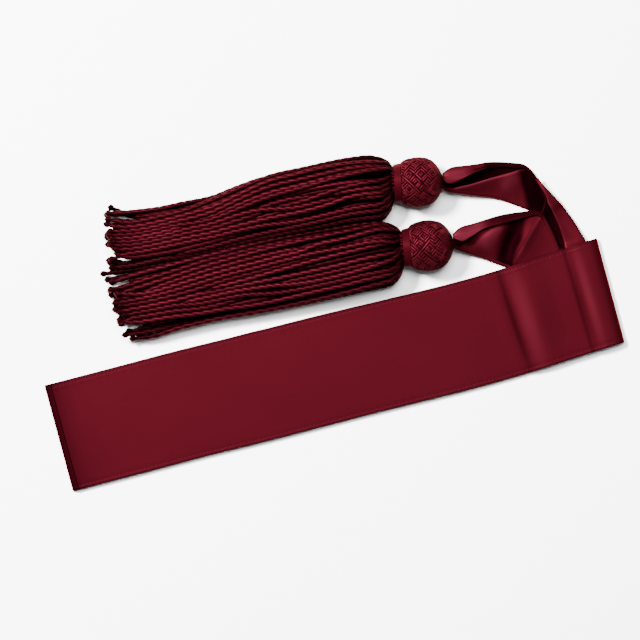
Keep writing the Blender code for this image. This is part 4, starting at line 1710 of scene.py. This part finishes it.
@dataclass
class CordSkirt(TasselPart):
    """Twisted cords that run side by side from the binding, outer ones round inner ones."""

    table: tuple
    stray: float
    outer_cords: int = 28
    outer_sides: int = 12
    outer_shares: Place = (0.84, 1.0)
    outer_cuts: Place = (0.0, 6.5)
    inner_cords: int = 24
    inner_sides: int = 9
    inner_shares: Place = (0.4, 0.75)
    inner_cuts: Place = (7.0, 34.0)
    angle_jitter: float = 0.35
    swirl: float = 0.55
    swirl_jitter: float = 0.30
    drift_wave: float = 0.09
    drift_turn: float = 5.0
    reach_wave: float = 0.05
    reach_turn: float = 4.0
    stations: int = 58
    station_power: float = 1.7
    curve_places: int = 600
    drop_rows: float = 3.0
    drop_gap: float = 0.4
    root_length: float = 4.0
    root_scale: float = 0.62
    root_growth: float = 26.0
    ply_growth: float = 30.0
    floor_gap: float = 0.35
    spread: float = 0.15
    rounds: int = 90
    inside_share: float = 0.9
    touch_share: float = 0.97
    push_share: float = 0.24
    hold_power: float = 0.8
    smoothing: float = 0.22
    stray_start: float = 0.86
    stray_power: float = 1.5
    stray_pull: float = 0.8
    cord_radius: float = 1.78
    cord_swell: float = 1.04
    cord_steps: int = 8
    cord_floor: float = 0.15
    cord_tones: Place = (0.65, 1.2)
    plies: int = 3
    waist: float = 0.80
    lay: float = 18.0
    lay_shares: Place = (0.85, 1.2)
    knot_length: float = 5.5
    knot_size: float = 0.86
    knot_ridge: float = 0.1
    knot_ridges: int = 4
    knot_bulge: float = 0.36
    knot_bulge_place: float = 2.0
    knot_bulge_reach: float = 1.5
    knot_tone: float = 0.45
    neck_depth: float = 0.35
    neck_place: float = 5.2
    neck_reach: float = 1.2
    tip_round: float = 1.4
    tip_least: float = 0.02
    tip_reach: float = 2.6
    tip_shade_length: float = 24.0
    tip_tone: float = 0.3
    # painted shade: dark grooves between the plies, dark sides of the cords, and darker cords inside the
    # skirt
    groove_shade: float = 0.15
    tone_power: float = 1.3
    side_shade: float = 0.05
    deepest_shade: float = 0.28
    deep_start: float = 0.45
    deep_length: float = 0.35

    def station_sections(self) -> tuple[np.ndarray, np.ndarray, np.ndarray]:
        """The skirt's stations: smoothed table rows, height of the middle, and length so far.

        Returns:
            The rows, the heights and the lengths.
        """
        fine_places = np.linspace(0, len(self.table) - 1, self.curve_places)
        run = length_so_far(on_curve(self.table, fine_places)[:, :2])
        wanted = run[-1] * np.linspace(0, 1, self.stations) ** self.station_power
        places = np.interp(wanted, run, fine_places)
        rows = on_curve(self.table, places)
        axis = AXIS_HEIGHT * np.maximum(1 - places / self.drop_rows, 0.0)
        return rows, np.maximum(rows[:, 3] + self.drop_gap, axis), wanted

    def scattered(self, rows: np.ndarray) -> np.ndarray:
        """First guess of where each cord crosses each station, in shares of the section.

        Args:
            rows: the stations' sections.

        Returns:
            Shares across and up, cords by stations by 2.
        """
        count = self.outer_cords + self.inner_cords
        step = np.linspace(0, 1, len(rows))
        shares = np.zeros((count, len(rows), 2))
        for cord in range(count):
            outer = cord < self.outer_cords
            ring = self.outer_cords if outer else self.inner_cords
            angle = 2 * np.pi * (cord + self.angle_jitter * self.rng.normal()) / ring
            reach = self.rng.uniform(*(self.outer_shares if outer else self.inner_shares))
            drift = (self.swirl + self.swirl_jitter * self.rng.normal()) * step
            drift += self.drift_wave * np.sin(self.drift_turn * step + self.rng.uniform(0, ANY_START))
            wave = np.sin(self.reach_turn * step + self.rng.uniform(0, ANY_START))
            away = reach + self.reach_wave * wave * step
            shares[cord, :, 0] = away * np.cos(angle + drift)
            shares[cord, :, 1] = away * np.sin(angle + drift)
        return shares

    def settled(self) -> np.ndarray:
        """Centrelines of the cords, pushed apart until they lie beside each other.

        Returns:
            Points of each cord, cords by stations by 3.
        """
        rows, middle, run = self.station_sections()
        half = rows[:, 2:4] - self.cord_radius * self.inside_share
        places = self.scattered(rows) * half[None]
        radius = self.cord_radius * rising(self.root_scale, eased(ramp(run, self.root_growth)))
        lowest = radius + self.floor_gap - middle
        itself = np.arange(len(places))
        closest = 0.05
        for _ in range(self.rounds):
            apart = places[:, None] - places[None]
            distance = np.linalg.norm(apart, axis=3)
            overlap = np.clip(2 * radius * self.touch_share - distance, 0.0, None)
            overlap[itself, itself] = 0.0
            push = apart / np.maximum(distance, closest)[..., None] * overlap[..., None]
            places = places + self.push_share * push.sum(axis=1)
            beyond = np.linalg.norm(places / half[None], axis=2)
            places = places / np.maximum(beyond, 1.0)[..., None] ** self.hold_power
            straighter = places[:, 2:] + places[:, :-2] - 2 * places[:, 1:-1]
            places[:, 1:-1] += self.smoothing * straighter
            places[:, :, 1] = np.maximum(places[:, :, 1], lowest[None])
        places[:, :, 0] *= self.widened(places[:, :, 0], rows[:, 2] + self.spread - radius)
        x = rows[:, 0] + rows[:, 4] * places[:, :, 0]
        y = rows[:, 1] + places[:, :, 0]
        lines = np.stack([x, y, middle + places[:, :, 1]], axis=2)
        stray = int(np.argmax(lines[:, -1, 1]))
        late = ramp(run / run[-1], 1 - self.stray_start, self.stray_start)
        astray = self.stray * late ** self.stray_power
        lines[stray, :, 1] += astray
        lines[stray, :, 0] -= self.stray_pull * astray
        return lines

    @staticmethod
    def widened(across: np.ndarray, reach: np.ndarray) -> np.ndarray:
        """How far each place across must be stretched for the skirt to fill its outline.

        Args:
            across: places across, cords by stations.
            reach: how far the outermost cord reaches at each station.

        Returns:
            A factor for each place.
        """
        least, most = 0.85, 1.3
        near = 2
        factors = np.ones_like(across)
        for sign in (-1, 1):
            needed = np.clip(reach / np.maximum((sign * across).max(axis=0), 1.0), least, most)
            window = np.full(2 * near + 1, 1 / (2 * near + 1))
            soft = np.convolve(np.pad(needed, near, mode="edge"), window, mode="valid")
            factors = np.where(sign * across > 0, soft[None], factors)
        return factors

    def cord_radii(self, wanted: np.ndarray, to_tip: np.ndarray) -> np.ndarray:
        """Radius along a cord: thin at its root, with a neck and a knot at its tip.

        Args:
            wanted: length from the root to each ring.
            to_tip: length from each ring to the tip.

        Returns:
            The radius at each ring.
        """
        bulge = 1 + self.knot_bulge * fading(to_tip - self.knot_bulge_place, self.knot_bulge_reach)
        bulge = bulge - self.neck_depth * fading(to_tip - self.neck_place, self.neck_reach)
        cap = np.sqrt(np.clip(to_tip / self.tip_round, self.tip_least, 1.0))
        grown = rising(self.root_scale, eased(ramp(wanted, self.ply_growth)))
        return self.cord_radius * self.cord_swell * grown * bulge * cap

    def cord_shade(self, spokes: np.ndarray, line: np.ndarray, axis: np.ndarray) -> np.ndarray:
        """Painted shade of a cord for its place in the skirt: darker on its sides and inside the skirt.

        Args:
            spokes: unit vectors from its centreline to its points.
            line: points of its centreline.
            axis: middle of the skirt beside them, with the skirt's half width and half height.

        Returns:
            The painted shade at each point, rings by sides.
        """
        from_axis = line - axis[:, :3]
        half_width, half_height = axis[:, 3], axis[:, 4]
        half = np.stack([half_width, half_width, half_height], axis=1)
        reached = np.linalg.norm(from_axis / half, axis=1)[:, None]
        facing = np.einsum("rsk,rk->rs", spokes, unit(from_axis / half ** 2))
        facing = np.clip(self.side_shade + facing, 0.0, 1.0) ** self.tone_power
        return facing * rising(self.deepest_shade, ramp(reached, self.deep_length, self.deep_start))

    def cord_mesh(self, centres: np.ndarray, sides: int, middle: np.ndarray,
                  cut: Place) -> tuple[np.ndarray, np.ndarray]:
        """One twisted cord of three plies with a knotted end.

        Args:
            centres: rough centreline, from the binding to the tip.
            sides: points round its section.
            middle: line through the middle of the skirt, with the skirt's half width and half height.
            cut: least and most that the cord ends short of its full length.

        Returns:
            Its rings of points, and the painted shade and tone of each point.
        """
        rough = np.linspace(0, len(centres) - 1, len(centres) * self.cord_steps)
        fine = on_curve(centres, rough)
        run = length_so_far(fine)
        total = run[-1] - self.rng.uniform(*cut)
        wanted = np.linspace(0, total, int(total / (self.lay / sides)))
        to_tip = total - wanted
        line = at_lengths(run, fine, wanted)
        axis = at_lengths(run, on_curve(middle, rough), wanted)
        angles = ring_angles(sides)
        lobes = np.abs(np.cos(self.plies * angles / 2))[None, :]
        knot = (1 - ramp(to_tip, self.knot_length))[:, None]
        knotted = (self.knot_size + self.knot_ridge * np.cos(self.knot_ridges * angles))[None, :]
        shape = rising(self.waist, lobes) * (1 - np.sqrt(knot)) + knotted * np.sqrt(knot)
        lay = self.lay * self.rng.uniform(*self.lay_shares)
        twist = -2 * np.pi * wanted / lay + self.rng.uniform(0, np.pi)
        spokes = ring_spokes(*frames_along(line), angles[None, :] + twist[:, None])
        reach = self.cord_radii(wanted, to_tip)[:, None] * shape
        # Painted shade in the grooves between the plies.
        shade = rising(self.groove_shade, lobes ** self.tone_power) * (1 - knot) + self.knot_tone * knot
        shade = shade * self.cord_shade(spokes, line, axis)
        shade = shade * rising(self.tip_tone, ramp(to_tip, self.tip_shade_length))[:, None]
        shade = np.clip(shade * self.rng.uniform(*self.cord_tones), 0.0, 1.0)
        return line[:, None, :] + spokes * reach[..., None], shade

    def cord_bundle(self, name: str, lines: np.ndarray, sides: int, middle: np.ndarray, cut: Place,
                    material: bpy.types.Material) -> bpy.types.Object:
        """Many cords as one mesh.

        Args:
            name: the piece's name.
            lines: their centrelines.
            sides: points round each cord.
            middle: line through the middle of the skirt, with its half width and half height.
            cut: least and most that a cord ends short of its full length.
            material: their material.

        Returns:
            The piece.
        """
        vertices = []
        faces = []
        shades = []
        offset = 0
        root = self.direction * self.root_length
        along_middle = np.concatenate([middle[:1], middle, middle[-1:]])
        along_middle[0, :3] += root
        for line in lines:
            onward = unit(line[-1] - line[-2])
            rooted = np.concatenate([[line[0] + root], line, [line[-1] + onward * self.tip_reach]])
            rings, shade = self.cord_mesh(rooted, sides, along_middle, cut)
            faces += tube_faces(len(rings), sides, offset)
            offset += shade.size
            vertices.append(rings.reshape(-1, 3))
            shades.append(shade.ravel())
        flat = np.concatenate(vertices)
        flat[:, 2] = np.maximum(flat[:, 2], self.cord_floor)
        piece = new_piece(name, flat, faces, material)
        set_shade(piece, np.concatenate(shades))
        return piece

    def build(self, cord: bpy.types.Material) -> list[bpy.types.Object]:
        """The skirt: its outer cords, and the cords inside it.

        Args:
            cord: their material.

        Returns:
            The two pieces.
        """
        lines = self.settled()
        rows, height, _ = self.station_sections()
        middle = np.stack([rows[:, 0], rows[:, 1], height, rows[:, 2], rows[:, 3]], axis=1)
        outer = self.cord_bundle(f"skirt_{self.side}_cords", lines[:self.outer_cords],
                                 self.outer_sides, middle, self.outer_cuts, cord)
        inner = self.cord_bundle(f"skirt_{self.side}_inner_cords", lines[self.outer_cords:],
                                 self.inner_sides, middle, self.inner_cuts, cord)
        keep(outer, Slot.CORD, f"skirt_{self.side}")
        keep(inner, Slot.CORD)
        return [outer, inner]


@dataclass(frozen=True)
class Tassel:
    """A netted ball, a wound binding and a skirt of twisted cords."""

    side: str
    start: Place
    end: Place
    scale: float
    skirt: tuple
    seed: int
    stray: float

    def build(self, knit: bpy.types.Material, floss: bpy.types.Material,
              cord: bpy.types.Material) -> list[bpy.types.Object]:
        """All pieces of the tassel.

        Args:
            knit: material of the ball.
            floss: material of the binding.
            cord: material of the cords.

        Returns:
            The pieces.
        """
        rng = np.random.default_rng(self.seed)
        axis = (self.side, self.start, self.end, self.scale, rng)
        ball = NettedBall(*axis).build(knit)
        binding = Binding(*axis).build(floss)
        return [ball, binding, *CordSkirt(*axis, self.skirt, self.stray).build(cord)]


@dataclass
class Studio:
    """Pale surface, soft lamps and the camera straight above."""

    middle: Place = (-9.9, 2.4)
    field_width: float = 422.4
    distance: float = 3000.0
    sensor: float = 36.0
    farthest: float = 20000.0
    floor_size: float = 6000.0
    floor_gap: float = 0.05
    ambient: float = 0.15
    key_place: Spot = (-850.0, 620.0, 1500.0)
    key_size: float = 330.0
    key_power: float = 280.0
    fill_place: Spot = (120.0, 620.0, 2000.0)
    fill_size: float = 800.0
    fill_power: float = 96.0

    def build_floor(self, paper: bpy.types.Material) -> bpy.types.Object:
        """The surface that the sash lies on.

        Args:
            paper: its material.

        Returns:
            The surface.
        """
        bpy.ops.object.select_all(action="DESELECT")
        place = (0, 0, -self.floor_gap * MM)
        bpy.ops.mesh.primitive_plane_add(size=self.floor_size * MM, location=place)
        floor = bpy.context.object
        floor.name = "surface"
        floor.data.materials.append(paper)
        return floor

    def lamp(self, name: str, place: Spot, size: float, power: float) -> bpy.types.Object:
        """A square soft white lamp that faces the middle of the sash.

        Args:
            name: its name.
            place: where it stands, in millimetres.
            size: its width, in millimetres.
            power: its power in watts.

        Returns:
            The lamp.
        """
        data = bpy.data.lights.new(name, "AREA")
        data.shape = "SQUARE"
        data.size = size * MM
        data.energy = power
        made = bpy.data.objects.new(name, data)
        made.location = Vector(place) * MM
        made.rotation_euler = (-made.location).to_track_quat("-Z", "Y").to_euler()
        bpy.context.scene.collection.objects.link(made)
        return made

    def build_camera(self) -> bpy.types.Object:
        """Camera that looks straight down, its frame as wide as the photo's field.

        Returns:
            The camera.
        """
        data = bpy.data.cameras.new("camera")
        data.sensor_width = self.sensor
        data.lens = self.sensor * self.distance / self.field_width
        data.clip_end = self.farthest * MM
        camera = bpy.data.objects.new("camera", data)
        camera.location = (self.middle[0] * MM, self.middle[1] * MM, self.distance * MM)
        bpy.context.scene.collection.objects.link(camera)
        bpy.context.scene.camera = camera
        return camera

    def build(self, paper: bpy.types.Material) -> None:
        """Floor, lamps, surroundings and camera.

        Args:
            paper: the floor's material.
        """
        self.build_floor(paper)
        self.build_camera()
        self.lamp("key", self.key_place, self.key_size, self.key_power)
        self.lamp("fill", self.fill_place, self.fill_size, self.fill_power)
        world = bpy.data.worlds.new("surroundings")
        world.use_nodes = True
        background = world.node_tree.nodes["Background"]
        background.inputs["Color"].default_value = (1.0, 1.0, 1.0, 1.0)
        background.inputs["Strength"].default_value = self.ambient
        bpy.context.scene.world = world


# Each tail: its table, its creases, then painted shade and painted highlights on its layers.
TAILS = (
    Tail("upper_leg_satin", "tail_upper_leg", UPPER_LEG, (
        Crease((72.0, 95.0), (90.0, 101.0), 2.2, 0.5),
        Crease((72.0, 92.0), (92.0, 94.0), 1.8, -0.45),
        Crease((72.0, 90.0), (96.0, 88.5), 1.6, 0.4),
        Crease((110.0, 86.0), (117.0, 101.0), 4.5, 0.7),
        Crease((123.0, 82.0), (126.0, 101.0), 4.0, -0.6),
    ), (
        PaintedShade(Fold.BOTTOM, (76.0, 92.0), (128.0, 97.0), 14.0, 0.97),
        PaintedShade(Fold.BACK, (103.0, 105.0), (133.0, 98.0), 6.0, 0.8),
        PaintedShade(Fold.FRONT, (125.5, 101.0), (136.0, 79.0), 5.0, 1.1),
        PaintedShade(Fold.FRONT, (128.0, 93.0), (131.5, 76.0), 5.4, 1.0),
        PaintedShade(Fold.BACK, (74.0, 97.0), (84.0, 98.5), 4.0, -0.45, 2.0),
        PaintedShade(Fold.FRONT, (113.0, 91.0), (116.5, 95.0), 4.0, -0.35, 2.0),
        PaintedShade(Fold.FRONT, (79.2, 88.8), (126.7, 102.7), 0.9, -0.8, 2.0),
    ), flat=(50.0, 76.0)),
    Tail("upper_strip_satin", "tail_upper_strip", UPPER_STRIP, (
        Crease((150.0, 72.0), (164.0, 50.0), 2.6, 0.35),
        Crease((145.0, 66.0), (154.0, 50.0), 2.0, -0.2),
    ), (
        PaintedShade(Fold.BOTTOM, (134.0, 92.0), (148.0, 50.0), 14.0, 0.96),
        PaintedShade(Fold.FRONT, (134.2, 93.5), (152.8, 49.2), 1.2, -0.5, 2.0),
        PaintedShade(Fold.FRONT, (149.0, 49.5), (166.0, 55.5), 4.0, 0.3, 2.0),
    ), flat=(28.0, 118.0), rests_on=("band_layers",), far_turn=False),
    Tail("lower_tail_satin", "tail_lower", LOWER_TAIL, (
        Crease((79.0, 54.0), (95.0, 61.0), 2.4, 0.5),
        Crease((79.0, 52.0), (92.0, 52.5), 1.7, -0.4),
        Crease((95.0, 52.0), (109.0, 65.0), 4.2, 1.3),
        Crease((119.0, 66.0), (112.0, 38.0), 3.6, -0.5),
        Crease((136.0, 72.0), (116.0, 42.0), 1.4, 0.25),
    ), (
        PaintedShade(Fold.BOTTOM, (119.8, 70.0), (111.2, 37.0), 6.8, 1.1, 4.0),
        PaintedShade(Fold.BOTTOM, (99.0, 53.5), (111.0, 66.0), 4.0, -0.5, 2.0),
        PaintedShade(Fold.BACK, (81.0, 56.5), (94.0, 62.5), 4.5, -0.75, 2.0),
        PaintedShade(Fold.BOTTOM, (131.0, 70.0), (124.0, 55.0), 4.5, 0.42, 2.0),
        PaintedShade(Fold.BOTTOM, (136.0, 72.0), (118.0, 41.0), 1.0, -0.6, 2.0),
        PaintedShade(Fold.BOTTOM, (80.0, 51.0), (100.0, 67.0), 2.4, 0.85, 2.0),
        PaintedShade(Fold.BACK, (104.0, 70.0), (134.0, 73.0), 5.0, 0.75, 3.0),
    ), flat=(38.0, 124.0), rests_on=("band_layers",)),
)

TASSELS = (
    Tassel("upper", (43.6, 92.4), (70.2, 93.7), 1.0, UPPER_SKIRT, 7, 2.4),
    Tassel("lower", (49.5, 50.1), (77.3, 52.9), 1.02, LOWER_SKIRT, 11, 0.6),
)


def report(pieces: list[bpy.types.Object]) -> None:
    """Log each piece and how many triangles it has.

    Args:
        pieces: the pieces.
    """
    for piece in pieces:
        triangles = sum(len(face.vertices) - 2 for face in piece.data.polygons)
        LOG.info("%s: %d triangles", piece.name, triangles)


def main() -> None:
    """Dress the sash and set the studio round it."""
    logging.basicConfig(level=logging.INFO, format="%(name)s: %(message)s")
    satin = SATIN.build()
    pieces = Band().build(satin, LAYER_SATIN.build(), STITCH.build())
    pieces += [tail.build(satin) for tail in TAILS]
    knit = KNIT.build()
    floss = BINDING.build()
    cord = CORD.build()
    for tassel in TASSELS:
        pieces += tassel.build(knit, floss, cord)
    Studio().build(PaperFinish().build())
    report(pieces)


if __name__ == "__main__":
    main()
